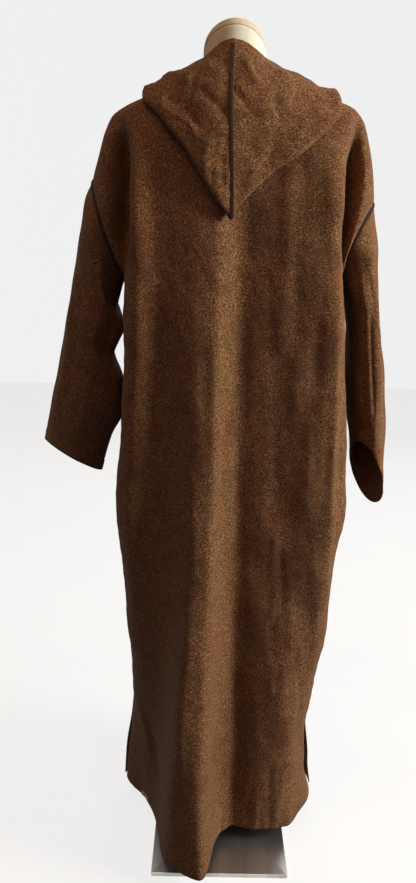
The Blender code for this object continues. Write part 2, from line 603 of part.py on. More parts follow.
def make_hood(cloth, braid):
    """Make the two halves of the hood and the braid over the seam between them."""
    grids = [hood_grid(arm, np.array(HOOD_COLUMNS)) for arm in ("left", "right")]
    normals = [-grid_normals(grids[0], False), grid_normals(grids[1], False)]
    shared = unit((normals[0] + normals[1])[:, 0] * np.array([0.0, 1.0, 1.0]))
    for arm, grid, outward in zip(("left", "right"), grids, normals):
        outward[:, 0] = shared
        wall("hood_" + arm, grid, grid - CLOTH * outward, cloth)
    first = sum(HOOD_STEPS[:HOOD_EDGE_KEY]) + 1
    path, out = grids[0][first:-1, 0], shared[first:-1]
    offsets = np.array([-0.5, 0.5]) * BRAID_WIDTH
    strip = path[:, None] + np.array([1.0, 0.0, 0.0]) * (offsets + SEAM_GAP / 2)[None, :, None]
    base = strip + out[:, None] * BRAID_LIFT
    wall("braid_hood", base + out[:, None] * BRAID_THICK, base, braid)


def make_label(material):
    """Lay a small blank tag on the back panel just above its hem."""
    width, height, thick = LABEL_SIZE
    x = LABEL_X + width * np.array([-0.5, 0.5])[None, :]
    level = HEM_Z + 0.002 + height * np.array([0.0, 1.0])[:, None]
    left, right = read(BODY, "left", level), read(BODY, "right", level)
    across = (2 * x - left - right) / (right - left)
    spots = robe_point(across, level, -1)
    out = unit(np.cross(spots[0, 1] - spots[0, 0], spots[1, 0] - spots[0, 0]))
    base = spots + out * LABEL_LIFT
    wall("hem_label", base + out * thick, base, material)


def ring_loft(name, rings, material):
    """Loft closed rings and cap both ends with flat faces."""
    rows, cols = rings.shape[:2]
    faces = [(i * cols + j, i * cols + (j + 1) % cols, (i + 1) * cols + (j + 1) % cols, (i + 1) * cols + j)
             for i in range(rows - 1) for j in range(cols)]
    faces += [tuple(range(cols)), tuple(range((rows - 1) * cols, rows * cols))]
    return build_object(name, rings.reshape(-1, 3), faces, material)


def oval(half, back, front, z, slope=0.0, count=28, square=2.15):
    """Ring of a rounded section; slope lowers it towards the front."""
    turn = np.linspace(0.0, 2 * math.pi, count, endpoint=False)
    x = half * np.sign(np.cos(turn)) * np.abs(np.cos(turn)) ** (2 / square)
    y = np.sign(np.sin(turn)) * np.abs(np.sin(turn)) ** (2 / square)
    y = y * np.where(y < 0, back, front)
    return np.stack([x, y, z - slope * y], -1)


def make_form(skin, cap, dark, steel):
    """Make the dress form's trunk with its neck, the capped top, the pole and the base."""
    rings = [oval(*row[1:], row[0]) for row in zip(*(TRUNK[name] for name in TRUNK))]
    for half, under, back, front, square in zip(*(FORM_SHOULDERS[name] for name in FORM_SHOULDERS)):
        cloth_z = min(read(SHOULDER_LINE, "z", half), read(SHOULDER_LINE, "z", -half)) - CLOTH
        rings.append(oval(half, back, front, cloth_z - under, square=square))
    for share in (0.45, 1.0):
        z = NECK_SIDE_Z + (NECK_CUT[0] - NECK_SIDE_Z) * share
        rings.append(oval(NECK_RADIUS, NECK_RADIUS, NECK_RADIUS, z, NECK_CUT[1] * share, square=2.0))
    ring_loft("form_torso", np.stack(rings), skin)
    lean = unit(np.array([0.0, NECK_CUT[1], 1.0]))
    top = oval(NECK_RADIUS, NECK_RADIUS, NECK_RADIUS, NECK_CUT[0], NECK_CUT[1], square=2.0)
    centre = np.array([0.0, 0.0, NECK_CUT[0]])

    def slice_at(height, scale):
        return centre + (top - centre) * scale + lean * height

    start = SEAM_GAP
    ring_loft("form_neck_joint", np.stack([slice_at(start, 0.93), slice_at(start + NECK_GROOVE, 0.93)]), dark)
    start += NECK_GROOVE + SEAM_GAP
    profile = ((0.0, 0.985), (0.0015, 1.0), (CAP_THICK - 0.004, 0.995),
               (CAP_THICK - 0.001, 0.965), (CAP_THICK, 0.92))
    ring_loft("form_neck_cap", np.stack([slice_at(start + h, k) for h, k in profile]), cap)
    foot = BASE_SIZE[2] + SEAM_GAP
    profile = ((FLANGE[0], foot), (FLANGE[0], foot + FLANGE[1]), (POLE_RADIUS, foot + FLANGE[1] + 0.004),
               (POLE_RADIUS, TORSO_BOTTOM - SEAM_GAP))
    ring_loft("stand_pole", np.stack([oval(r, r, r, z, square=2.0, count=24) for r, z in profile]), steel)
    bpy.ops.mesh.primitive_cube_add(size=1.0, location=(0.0, 0.0, BASE_SIZE[2] / 2))
    plate = bpy.context.object
    plate.name = plate.data.name = "stand_base"
    plate.scale = BASE_SIZE
    bpy.ops.object.transform_apply(location=False, rotation=False, scale=True)
    corners = plate.modifiers.new("rounded edges", "BEVEL")
    corners.width = 0.0012
    corners.segments = 1
    plate.data.materials.append(steel)
    for old in plate.users_collection:
        old.objects.unlink(plate)
    PARTS.objects.link(plate)


def finish(name, colour, roughness, metallic=0.0):
    """Make a plain Principled material."""
    material = bpy.data.materials.new(name)
    material.use_nodes = True
    shader = material.node_tree.nodes["Principled BSDF"]
    shader.inputs["Base Color"].default_value = (*colour, 1.0)
    shader.inputs["Roughness"].default_value = roughness
    shader.inputs["Metallic"].default_value = metallic
    return material


for leftover in list(bpy.data.objects):
    bpy.data.objects.remove(leftover, do_unlink=True)
PARTS = bpy.data.collections.new("djellaba robe")
bpy.context.scene.collection.children.link(PARTS)

wool = finish("brushed brown wool", (0.080, 0.040, 0.020), 0.95)
trim = finish("dark rayon braid", (0.020, 0.010, 0.009), 0.55)
tape = finish("blank woven tape", (0.70, 0.65, 0.58), 0.80)
jersey = finish("cream jersey cover", (0.78, 0.74, 0.62), 0.75)
board = finish("beige cap cloth", (0.62, 0.54, 0.42), 0.80)
shadow = finish("dark felt washer", (0.12, 0.10, 0.08), 0.90)
metal = finish("polished steel", (0.55, 0.55, 0.54), 0.25, 1.0)

sleeve_grids, sleeve_normals = make_robe(wool)
for label, ring, turned in zip(("braid_armhole_left", "braid_armhole_right"), sleeve_grids, sleeve_normals):
    make_armhole_braid(label, ring, turned, trim)
make_hood(wool, trim)
make_label(tape)
make_form(jersey, board, shadow, metal)
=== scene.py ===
import math
import bpy
import numpy as np
from mathutils import Matrix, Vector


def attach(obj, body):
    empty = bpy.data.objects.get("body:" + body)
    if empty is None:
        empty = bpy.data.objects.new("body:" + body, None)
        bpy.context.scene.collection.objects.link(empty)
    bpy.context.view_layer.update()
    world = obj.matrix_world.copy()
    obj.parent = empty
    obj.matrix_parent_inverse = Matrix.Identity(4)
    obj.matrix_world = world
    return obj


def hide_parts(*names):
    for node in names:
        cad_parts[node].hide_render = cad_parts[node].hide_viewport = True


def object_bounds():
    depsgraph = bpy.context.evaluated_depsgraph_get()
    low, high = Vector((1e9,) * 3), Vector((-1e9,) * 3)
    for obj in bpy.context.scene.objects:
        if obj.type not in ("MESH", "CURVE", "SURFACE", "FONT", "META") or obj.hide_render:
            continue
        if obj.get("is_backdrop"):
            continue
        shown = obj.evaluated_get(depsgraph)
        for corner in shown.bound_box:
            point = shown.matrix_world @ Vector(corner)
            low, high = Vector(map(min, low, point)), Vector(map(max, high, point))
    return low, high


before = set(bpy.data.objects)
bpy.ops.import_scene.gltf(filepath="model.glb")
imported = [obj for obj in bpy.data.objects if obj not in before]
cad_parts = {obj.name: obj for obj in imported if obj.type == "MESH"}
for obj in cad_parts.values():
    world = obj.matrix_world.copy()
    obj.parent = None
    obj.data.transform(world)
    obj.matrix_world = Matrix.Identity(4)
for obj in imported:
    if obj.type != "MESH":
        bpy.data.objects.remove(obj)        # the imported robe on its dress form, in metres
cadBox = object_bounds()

print("stage 1: camera, floor and light")
viewSettings = {"place": (-0.035, -1.5, 1.12), "tilt": 77.5, "roll": 1.0, "lens": 36 * 800 / 883}
cameraData = bpy.data.cameras.new("camera")
cameraData.sensor_fit = "AUTO"
cameraData.sensor_width = 36
cameraData.lens = viewSettings["lens"]
camera = bpy.data.objects.new("camera", cameraData)
camera.matrix_world = (Matrix.Translation(viewSettings["place"])
                       @ Matrix.Rotation(math.radians(viewSettings["tilt"]), 4, "X")
                       @ Matrix.Rotation(math.radians(viewSettings["roll"]), 4, "Z"))
bpy.context.scene.collection.objects.link(camera)
bpy.context.scene.camera = camera


# Small helpers

# sRGB hex to linear red, green and blue, with full alpha
def linear(hexColour):
    parts = [int(hexColour[i:i + 2], 16) / 255 for i in (1, 3, 5)]
    return tuple(c / 12.92 if c <= 0.04045 else ((c + 0.055) / 1.055) ** 2.4 for c in parts) + (1.0,)


# One node: settings are its own properties, values its sockets' numbers, and links the sockets that
# are fed, each as (node, output)
def addNode(tree, kind, settings={}, values={}, links={}):
    node = tree.nodes.new("ShaderNode" + kind)
    for name, value in settings.items():
        setattr(node, name, value)
    for name, value in values.items():
        node.inputs[name].default_value = value
    for name, (source, output) in links.items():
        tree.links.new(source.outputs[output], node.inputs[name])
    return node


# A new material, its node tree and its shader
def newMaterial(name):
    material = bpy.data.materials.new(name)
    material.use_nodes = True
    return material, material.node_tree, material.node_tree.nodes["Principled BSDF"]


# A table with one named column for each word of names
def table(names, *rows):
    return dict(zip(names.split(), np.array(rows, float).T))


# Vectors over their own length
def unit(vectors):
    return vectors / np.maximum(np.linalg.norm(vectors, axis=-1, keepdims=True), 1e-12)


# Smooth step: 0 before start, 1 past end, and 3t^2 - 2t^3 between
def fade(at, start, end):
    t = np.clip((at - start) / (end - start), 0.0, 1.0)
    return t * t * (3.0 - 2.0 * t)


# Cubic through a column of values; the slope at each value is the harmonic mean of its two sides'
def smooth(at, places, values):
    at = np.clip(np.asarray(at, float), places[0], places[-1])
    step = np.diff(places)
    rate = np.diff(values) / step
    slopes = np.zeros(len(places))
    slopes[0], slopes[-1] = rate[0], rate[-1]
    same = rate[:-1] * rate[1:] > 0
    total = np.where(same, rate[:-1] + rate[1:], 1.0)
    slopes[1:-1] = np.where(same, 2.0 * rate[:-1] * rate[1:] / total, 0.0)
    i = np.clip(np.searchsorted(places, at, side="right") - 1, 0, len(step) - 1)
    t = (at - places[i]) / step[i]
    return (values[i] * (1 + 2 * t) * (1 - t) ** 2 + values[i + 1] * t * t * (3 - 2 * t)
            + step[i] * t * (1 - t) * (slopes[i] * (1 - t) - slopes[i + 1] * t))


# One column of a table, read at places of its first column
def read(rows, name, at):
    return smooth(at, next(iter(rows.values())), rows[name])


# Mesh object from points, faces and an optional place on the cloth for each point
def makeMesh(name, points, faces, material, spread=None):
    mesh = bpy.data.meshes.new(name)
    mesh.from_pydata(points.reshape(-1, 3).tolist(), [], [list(f) for f in faces])
    if spread is not None:
        corners = np.empty(len(mesh.loops), dtype=np.int32)
        mesh.loops.foreach_get("vertex_index", corners)
        mesh.uv_layers.new(name="UVMap").data.foreach_set("uv", spread.reshape(-1, 2)[corners].ravel())
    mesh.polygons.foreach_set("use_smooth", np.ones(len(mesh.polygons), dtype=bool))
    mesh.materials.append(material)
    mesh.update()
    piece = bpy.data.objects.new(name, mesh)
    bpy.context.scene.collection.objects.link(piece)
    return piece


# Normals of a grid: the cross product of its column and row directions
def gridNormals(grid, wrap=False):
    if wrap:
        across = np.roll(grid, -1, 1) - np.roll(grid, 1, 1)
    else:
        across = np.gradient(grid, axis=1)
    return unit(np.cross(across, np.gradient(grid, axis=0)))


# Wall: the outer grid, the same grid a thickness further in along its normals and turned over, and
# round every open edge a strip that bulges out by 0.4 of the thickness
def makeWall(name, outer, normals, thick, material, wrap=False, cut=None, spread=None):
    rows, cols = outer.shape[:2]
    count = rows * cols
    index = np.arange(count).reshape(rows, cols)
    left, right = (index, np.roll(index, -1, 1)) if wrap else (index[:, :-1], index[:, 1:])
    quads = np.stack([left[:-1], right[:-1], right[1:], left[1:]], -1)
    quads = quads.reshape(-1, 4) if cut is None else quads[~cut]
    top, out = outer.reshape(-1, 3), normals.reshape(-1, 3)
    facing = np.cross(top[quads[:, 1]] - top[quads[:, 0]], top[quads[:, 3]] - top[quads[:, 0]])
    if (facing * out[quads[:, 0]]).sum() < 0:
        quads = quads[:, ::-1]
    a, b = quads.ravel(), np.roll(quads, -1, 1).ravel()
    free = ~np.isin(a * count + b, b * count + a)
    a, b = a[free], b[free]
    away = np.zeros_like(top)
    sideways = unit(np.cross(top[b] - top[a], out[a] + out[b]))
    np.add.at(away, a, sideways)
    np.add.at(away, b, sideways)
    rim, place = np.unique(np.concatenate([a, b]), return_inverse=True)
    inner = top - thick * out
    middle = (top[rim] + inner[rim]) / 2 + unit(away[rim]) * thick * 0.4
    ma, mb = place[:len(a)] + 2 * count, place[len(a):] + 2 * count
    faces = np.concatenate([quads, quads[:, ::-1] + count, np.stack([b, a, ma, mb], -1),
                            np.stack([mb, ma, a + count, b + count], -1)])
    if spread is not None:
        flat = spread.reshape(-1, 2)
        spread = np.concatenate([flat, flat, flat[rim]])
    return makeMesh(name, np.concatenate([top, inner, middle]), faces.tolist(), material, spread)


# Soft troughs and ridges: each runs from one place to another, and its height falls off with the
# square of the distance from its bowed line and fades at its ends
def creaseHeight(u, v, creases):
    lift = np.zeros(np.broadcast(u, v).shape)
    for u1, v1, u2, v2, width, height, bow in creases:
        du, dv = u2 - u1, v2 - v1
        length = math.hypot(du, dv)
        t = ((u - u1) * du + (v - v1) * dv) / length ** 2
        off = ((u - u1) * dv - (v - v1) * du) / length - bow * 4.0 * t * (1.0 - t)
        lift = lift + height * np.exp(-(off / width) ** 2) * fade(t, 0.0, 0.3) * fade(-t, -1.0, -0.7)
    return lift


# Slow uneven waves: a sum of sines whose directions and phases come from a seeded generator
def slowWaves(u, v, size, seed, count=9):
    draw = np.random.default_rng(seed)
    total = 0.0
    for _ in range(count):
        angle, phase, scale = draw.uniform(0, math.pi), draw.uniform(0, 2 * math.pi), draw.uniform(0.6, 1.7)
        total = total + np.sin((u * math.cos(angle) + v * math.sin(angle)) * 2 * math.pi / (size * scale)
                               + phase)
    return total / math.sqrt(count)


# Materials

# Wool flannel, woven from mixed dark and light brown fibres, then milled and brushed: a matt, mottled
# heather with a soft nap that catches light at grazing angles
woolSettings = {"ground": "#331808", "middle": "#694226", "light": "#b48f64", "red": "#55270f",
                "olive": "#503b1d", "fleck": 0.0023, "fibre": 0.0016, "cloud": 0.055, "nap": 0.0007}


def makeWool(name):
    material, tree, shader = newMaterial(name)
    place = addNode(tree, "TexCoord")
    turned = addNode(tree, "Mapping", {}, {"Scale": (0.62, 0.62, 1.0), "Rotation": (0.0, 0.12, 0.0)},
                     {"Vector": (place, "Object")})

    def noise(size, source, **more):
        values = {"Scale": 1 / woolSettings[size], **more}
        return addNode(tree, "TexNoise", {}, values, {"Vector": source})

    def share(source, start, end, most):
        return addNode(tree, "MapRange", {}, {"From Min": start, "From Max": end, "To Max": most},
                       {"Value": (source, "Fac")})

    def tint(below, colour, amount):
        return addNode(tree, "Mix", {"data_type": "RGBA"}, {7: linear(woolSettings[colour])},
                       {0: (amount, "Result"), 6: (below, 2)})

    # flecks are drawn about 3 mm long, several times the real fibre bundles, so that they show
    fleck = noise("fleck", (place, "Object"), Detail=3.0, Roughness=0.62)
    fibre = noise("fibre", (turned, "Vector"), Detail=2.0, Roughness=0.7, Distortion=0.4)
    cloud = noise("cloud", (place, "Object"), Detail=3.0, Roughness=0.6)
    nap = noise("nap", (place, "Object"), Detail=2.0)
    ground = addNode(tree, "Mix", {"data_type": "RGBA"}, {6: linear(woolSettings["ground"]),
                     7: linear(woolSettings["middle"])}, {0: (share(fleck, 0.42, 0.54, 1.0), "Result")})
    lit = tint(ground, "light", share(fibre, 0.5, 0.64, 0.8))
    warm = tint(lit, "red", share(cloud, 0.48, 0.66, 0.45))
    tinted = tint(warm, "olive", share(cloud, 0.5, 0.34, 0.45))
    tree.links.new(tinted.outputs[2], shader.inputs["Base Color"])
    height = addNode(tree, "Math", {"operation": "ADD"}, {}, {0: (fibre, "Fac"), 1: (nap, "Fac")})
    bump = addNode(tree, "Bump", {}, {"Strength": 0.75, "Distance": 0.0011}, {"Height": (height, "Value")})
    tree.links.new(bump.outputs["Normal"], shader.inputs["Normal"])
    for socket, value in {"Roughness": 0.95, "Specular IOR Level": 0.12, "Sheen Weight": 0.12,
                          "Sheen Roughness": 0.5, "Sheen Tint": linear("#9a7450"), "IOR": 1.53}.items():
        shader.inputs[socket].default_value = value
    return material


# Any other material: base colours mixed by one noise, and a bump from a pattern of a real size
def makeFinish(name, dark, light, size, sockets, bumpSize, bumpDepth, pattern="TexNoise", stretch=(1, 1, 1),
               source="Object"):
    material, tree, shader = newMaterial(name)
    place = addNode(tree, "TexCoord")
    turned = addNode(tree, "Mapping", {}, {"Scale": stretch}, {"Vector": (place, source)})
    tone = addNode(tree, "TexNoise", {}, {"Scale": 1 / size, "Detail": 4.0, "Roughness": 0.6},
                   {"Vector": (turned, "Vector")})
    share = addNode(tree, "MapRange", {}, {"From Min": 0.35, "From Max": 0.65}, {"Value": (tone, "Fac")})
    mixed = addNode(tree, "Mix", {"data_type": "RGBA"}, {6: linear(dark), 7: linear(light)},
                    {0: (share, "Result")})
    tree.links.new(mixed.outputs[2], shader.inputs["Base Color"])
    relief = addNode(tree, pattern, {}, {"Scale": 1 / bumpSize}, {"Vector": (turned, "Vector")})
    bump = addNode(tree, "Bump", {}, {"Strength": 0.6, "Distance": bumpDepth}, {"Height": (relief, 0)})
    tree.links.new(bump.outputs["Normal"], shader.inputs["Normal"])
    for socket, value in sockets.items():
        shader.inputs[socket].default_value = value
    return material


wool = makeWool("brushed wool flannel")
# Flat braid of dark rayon cord: a soft silky glint on each turn of the plait
braidFinish = makeFinish("plaited rayon braid", "#1c0e0a", "#38211a", 0.004,
                         {"Roughness": 0.8, "Specular IOR Level": 0.15}, 0.0006, 0.0002)
# Cotton tape in plain weave, unprinted: off-white and matt, with fine threads across it
tapeFinish = makeFinish("woven cotton tape", "#cfc6b9", "#e6dfd3", 0.003, {"Roughness": 0.85,
                        "Specular IOR Level": 0.2}, 0.0006, 0.0002, "TexVoronoi", (1, 1, 2.5))
# Cotton jersey stretched over the form: cream, smooth and matt, with a fine knit
jerseyFinish = makeFinish("stretched cotton jersey", "#d6d1bb", "#e2dfcd", 0.03, {"Roughness": 0.75,
                          "Specular IOR Level": 0.25, "Sheen Weight": 0.1}, 0.0011, 0.0002,
                          "TexVoronoi", (1, 1, 0.6))
# Cotton drill glued over the neck block: beige and matt, with a faint weave
drillFinish = makeFinish("glued cotton drill", "#b5a890", "#ccc0aa", 0.02, {"Roughness": 0.8,
                         "Specular IOR Level": 0.22}, 0.0012, 0.0002, "TexVoronoi", (1, 1, 0.6))
# Wool felt washer between the neck and its cap: seen only as a thin dull line
feltFinish = makeFinish("pressed wool felt", "#5f574c", "#8a806f", 0.003, {"Roughness": 0.95}, 0.001, 0.0004)
# Mild steel, ground and polished: grey mirror with faint grinding lines along it
steelFinish = makeFinish("polished mild steel", "#a3a29e", "#c4c2bd", 0.05,
                         {"Metallic": 1.0, "Roughness": 0.38}, 0.0008, 0.00004, "TexNoise", (1, 0.06, 1))


# The robe: back, front and two sleeves
print("stage 2: panels and sleeves of the robe")
robe = {
    "thick": 0.002, "gap": 0.0003, "hemZ": 0.036, "underarmZ": 1.1, "topLevel": 1.4,
    "neckHalf": 0.085, "neckSpread": 0.12, "backNeck": (0.078, 0.014), "frontNeck": (0.08, 0.063),
    "slitZ": 1.18, "slitHalf": (0.002, 0.012), "slitEase": 0.06, "shoulderRound": 3.0, "neckRise": 16,
    "hollowHalf": (0.006, 0.02), "lowRows": 150, "armRows": 74, "columns": 196, "sleeveRows": 120,
    "hemTurn": 0.024, "hemRidge": 0.0007, "easeHeight": 0.022, "edgeEase": 0.07, "foldEnds": (0.15, 0.12),
    "seamBlend": 0.35, "seamDrop": 0.15, "spotStep": 0.002,
}
thick, gap = robe["thick"], robe["gap"]
underarmZ, topLevel, hemZ = robe["underarmZ"], robe["topLevel"], robe["hemZ"]

body = table(
    "level left right back front squareLeft squareRight seamLeft seamRight",
    (0.036, -0.198, 0.192, 0.126, 0.168, 1.35, 2.2, 0.034, 0.01),
    (0.1, -0.193, 0.177, 0.127, 0.163, 1.5, 2.8, 0.026, 0.006),
    (0.2, -0.183, 0.171, 0.128, 0.156, 1.8, 3.6, 0.012, 0.002),
    (0.29, -0.178, 0.177, 0.13, 0.15, 2.6, 4.6, 0.0, 0.0),
    (0.42, -0.184, 0.195, 0.131, 0.143, 4.2, 6.5, 0.0, 0.0),
    (0.6, -0.197, 0.207, 0.132, 0.136, 6.5, 9.5, 0.0, 0.0),
    (0.7, -0.203, 0.219, 0.132, 0.132, 8.0, 11.0, 0.0, 0.0),
    (0.88, -0.19, 0.208, 0.132, 0.128, 8.5, 11.5, 0.0, 0.0),
    (1.04, -0.187, 0.198, 0.131, 0.126, 7.5, 10.0, 0.0, 0.0),
    (1.1, -0.186, 0.194, 0.13, 0.125, 6.5, 8.5, 0.0, 0.0),
    (1.145, -0.186, 0.194, 0.129, 0.124, 5.2, 6.4, 0.0, 0.0),
    (1.2, -0.185, 0.193, 0.128, 0.123, 4.2, 5.0, 0.0, 0.0),
    (1.4, -0.185, 0.193, 0.124, 0.118, 3.2, 3.6, 0.0, 0.0))

# side slits at the hem, where the front stands out past the back
slits = table("level left right open", (0.036, 0.005, 0.004, 0.012), (0.12, 0.006, 0.012, 0.009),
              (0.22, 0.001, 0.005, 0.003), (0.29, 0.0, 0.0, 0.0))

# the big fold down the back, from a soft ridge to a box pleat at the hem
mainFold = table(
    "level crest rise left right power",
    (0.036, -0.066, 0.15, 0.0525, 0.05, 8.0), (0.25, -0.058, 0.106, 0.048, 0.04, 5.6),
    (0.45, -0.049, 0.074, 0.045, 0.035, 4.0), (0.6, -0.042, 0.056, 0.05, 0.031, 3.5),
    (0.8, -0.034, 0.04, 0.058, 0.0265, 3.1), (1.1, -0.03, 0.025, 0.068, 0.023, 2.8),
    (1.23, -0.028, 0.014, 0.068, 0.023, 2.4), (1.4, -0.026, 0.0, 0.06, 0.03, 2.0))

# softer folds: side (-1 back), x and rise at the top and bottom ends, half width on the left and on
# the right of the crest, and the levels
folds = (
    (-1, -0.166, -0.176, 0.01, 0.007, 0.012, 0.03, 1.34, 0.5),
    (-1, 0.176, 0.188, 0.018, 0.016, 0.08, 0.01, 1.36, 0.46),
    (-1, 0.112, 0.142, 0.006, 0.024, 0.07, 0.02, 0.6, -0.1),
    (-1, -0.168, -0.124, 0.004, 0.01, 0.013, 0.013, 0.32, -0.06),
    (-1, 0.014, 0.03, -0.006, -0.014, 0.014, 0.022, 1.2, -0.1),
    (1, -0.125, -0.15, 0.008, 0.062, 0.03, 0.03, 1.05, -0.12),
    (1, -0.04, -0.045, 0.01, 0.07, 0.032, 0.032, 1.12, -0.12),
    (1, 0.06, 0.072, 0.01, 0.075, 0.034, 0.034, 1.08, -0.12),
    (1, 0.13, 0.16, 0.006, 0.045, 0.024, 0.024, 0.95, -0.12),
    (1, 0.012, 0.014, -0.006, -0.018, 0.024, 0.024, 0.8, -0.12))

# hollow between the body and each sleeve, steep towards the body
armHollow = table(
    "level left right deepLeft deepRight", (1.085, -0.187, 0.194, 0.0, 0.0), (1.105, -0.184, 0.193, 0.03, 0.026),
    (1.15, -0.182, 0.191, 0.06, 0.054), (1.21, -0.181, 0.19, 0.074, 0.07), (1.27, -0.181, 0.193, 0.072, 0.072),
    (1.32, -0.183, 0.199, 0.05, 0.058), (1.36, -0.187, 0.206, 0.02, 0.032), (1.395, -0.194, 0.214, 0.0, 0.0))

shoulderLine = table(
    "x z", (-0.246, 1.266), (-0.234, 1.305), (-0.222, 1.345), (-0.207, 1.372), (-0.15, 1.402),
    (-0.085, 1.428), (0.085, 1.428), (0.15, 1.407), (0.204, 1.389), (0.224, 1.368),
    (0.237, 1.329), (0.247, 1.283), (0.253, 1.235))

# armholes, left and right: outer top end, inner end under the arm, half depth, swing of the seam
armholes = ({"topX": -0.246, "topZ": 1.266, "underX": -0.186, "depth": 0.08, "bend": 0.75},
            {"topX": 0.253, "topZ": 1.235, "underX": 0.194, "depth": 0.08, "bend": 1.9})

sleeves = (
    table("along outerX outerZ innerX innerZ depth lift",
          (0.0, -0.246, 1.266, -0.186, 1.1, 0.08, 0.0), (0.08, -0.261, 1.232, -0.198, 1.078, 0.086, 0.0),
          (0.2, -0.271, 1.175, -0.207, 1.036, 0.088, 0.0), (0.3, -0.28, 1.127, -0.193, 1.004, 0.088, 0.0),
          (0.38, -0.287, 1.09, -0.203, 0.976, 0.087, 0.0), (0.47, -0.295, 1.045, -0.213, 0.948, 0.085, 0.0),
          (0.6, -0.307, 0.98, -0.197, 0.898, 0.082, 0.004), (0.73, -0.319, 0.918, -0.198, 0.842, 0.08, 0.006),
          (0.84, -0.33, 0.866, -0.219, 0.796, 0.076, 0.01), (1.0, -0.346, 0.789, -0.241, 0.729, 0.072, 0.014)),
    table("along outerX outerZ innerX innerZ depth lift",
          (0.0, 0.253, 1.235, 0.194, 1.1, 0.08, 0.0), (0.15, 0.263, 1.16, 0.214, 1.05, 0.088, 0.0),
          (0.4, 0.272, 1.05, 0.224, 0.985, 0.088, 0.004), (0.6, 0.284, 0.94, 0.226, 0.915, 0.084, 0.014),
          (0.8, 0.295, 0.815, 0.232, 0.856, 0.078, 0.03), (1.0, 0.303, 0.678, 0.241, 0.786, 0.072, 0.046)))

# creases of the back and front: x and z of both ends, half width, height and bow, all in millimetres
backCreases = np.array((
    (-139, 1302, -168, 850, 14, 2.5, 6), (-105, 1222, -137, 513, 20, -3.6, 8),
    (96, 690, 84, 560, 6, 1.3, 2), (94, 556, 80, 470, 6, 1.6, -3), (140, 450, 158, 345, 7, 1.9, 3),
    (116, 420, 112, 310, 6, 1.6, 2), (84, 430, 92, 310, 6.5, 1.4, -3), (100, 640, 108, 500, 8, -1.9, 2),
    (128, 400, 132, 250, 7, -2.2, 0), (40, 150, 30, 20, 6, 1.9, 2), (92, 130, 88, 10, 5.5, 2.2, -2),
    (128, 190, 108, 20, 7.5, 2.6, 3), (152, 130, 128, 20, 6, 2, -2), (60, 150, 53, 10, 6, -2.2, 0),
    (98, 210, 94, 20, 6, -2.4, 1), (72, 120, 70, 10, 4.5, 1.7, 0), (96, 1310, 96, 1100, 15, 2.9, 4),
    (30, 1250, 13, 1050, 18, -3.6, 3), (166, 1350, 176, 1080, 12, 2.9, 4),
    (-178, 1340, -180, 1120, 10, -2.9, -2), (-156, 1330, -162, 1120, 11, 2.6, 2),
    (-127, 1290, -124, 1060, 12, -2.6, 3), (90, 1150, 88, 940, 15, 2.9, 3),
    (36, 1120, 16, 900, 18, -2.9, 4), (172, 1130, 186, 940, 11, 2.4, -3),
    (154, 1090, 150, 880, 11, -2.9, 3), (120, 1020, 116, 800, 13, 2.3, 4),
    (-150, 1110, -168, 830, 12, 2.2, -4), (-100, 1080, -121, 800, 15, -2.4, 4),
    (-24, 1020, -22, 780, 12, 1.9, 3), (143, 880, 145, 640, 10, 1.9, 4), (172, 850, 170, 680, 9, -1.9, 0),
    (-167, 310, -122, 100, 7, 2.4, 3), (-148, 290, -110, 90, 8, -2.4, 2), (2, 640, 26, 300, 11, -1.9, 4),
    (-58, 560, -78, 150, 15, 1.6, 5), (-160, 700, -168, 420, 12, 1.9, 5), (60, 860, 68, 620, 12, 1.4, -4),
    (178, 600, 176, 380, 9, 1.7, 3), (-185, 640, -172, 400, 8, -1.6, 3))) / 1000
frontCreases = np.array((
    (-150, 1290, -165, 1020, 13, 4, 4), (-100, 1260, -108, 930, 17, -4.5, 6),
    (-60, 1190, -72, 760, 16, 3.6, -6), (70, 1230, 58, 840, 16, 4, 5), (118, 1280, 130, 960, 15, -4.6, 4),
    (160, 1300, 172, 1060, 12, 3.8, -3), (30, 1060, 22, 650, 18, -4, 7), (150, 900, 138, 560, 13, 3, 4),
    (-140, 880, -128, 540, 14, -3.6, 5), (-170, 700, -160, 420, 10, 2.8, 3),
    (100, 620, 108, 360, 9, 2.6, -3), (-88, 520, -94, 260, 9, -3, 3), (32, 420, 26, 150, 10, 2.6, 2),
    (-10, 300, -14, 40, 8, 2.6, -2), (134, 260, 128, 20, 8, 3, 3), (-118, 220, -124, 10, 7, -2.6, 2),
    (86, 180, 92, 10, 6, -2.6, 0), (-166, 200, -172, 20, 7, 2.8, 2))) / 1000


# Share of the way from the underarm (0) to the shoulder line (1)
def armRise(level):
    return np.clip((level - underarmZ) / (topLevel - underarmZ), 0.0, 1.0)


# Armhole seam: x swings out by a power of the rise, y is a half circle in the rise, z is straight
def armholePoint(arm, rise, side):
    hole = armholes[arm]
    x = hole["underX"] + (hole["topX"] - hole["underX"]) * rise ** hole["bend"]
    y = side * hole["depth"] * 2.0 * np.sqrt(np.clip(rise * (1.0 - rise), 0.0, 1.0))
    z = underarmZ + (hole["topZ"] - underarmZ) * rise
    return np.stack([x, y, z], -1)


# Shoulder seam, and between the shoulders the neckline: an ellipse in plan that dips as it leaves the seam
def topLine(x, side):
    inside = np.sqrt(np.clip(1.0 - (x / robe["neckHalf"]) ** 2, 0.0, 1.0))
    reach, drop = robe["backNeck" if side < 0 else "frontNeck"]
    return side * reach * inside, read(shoulderLine, "z", x) - drop * inside ** 2


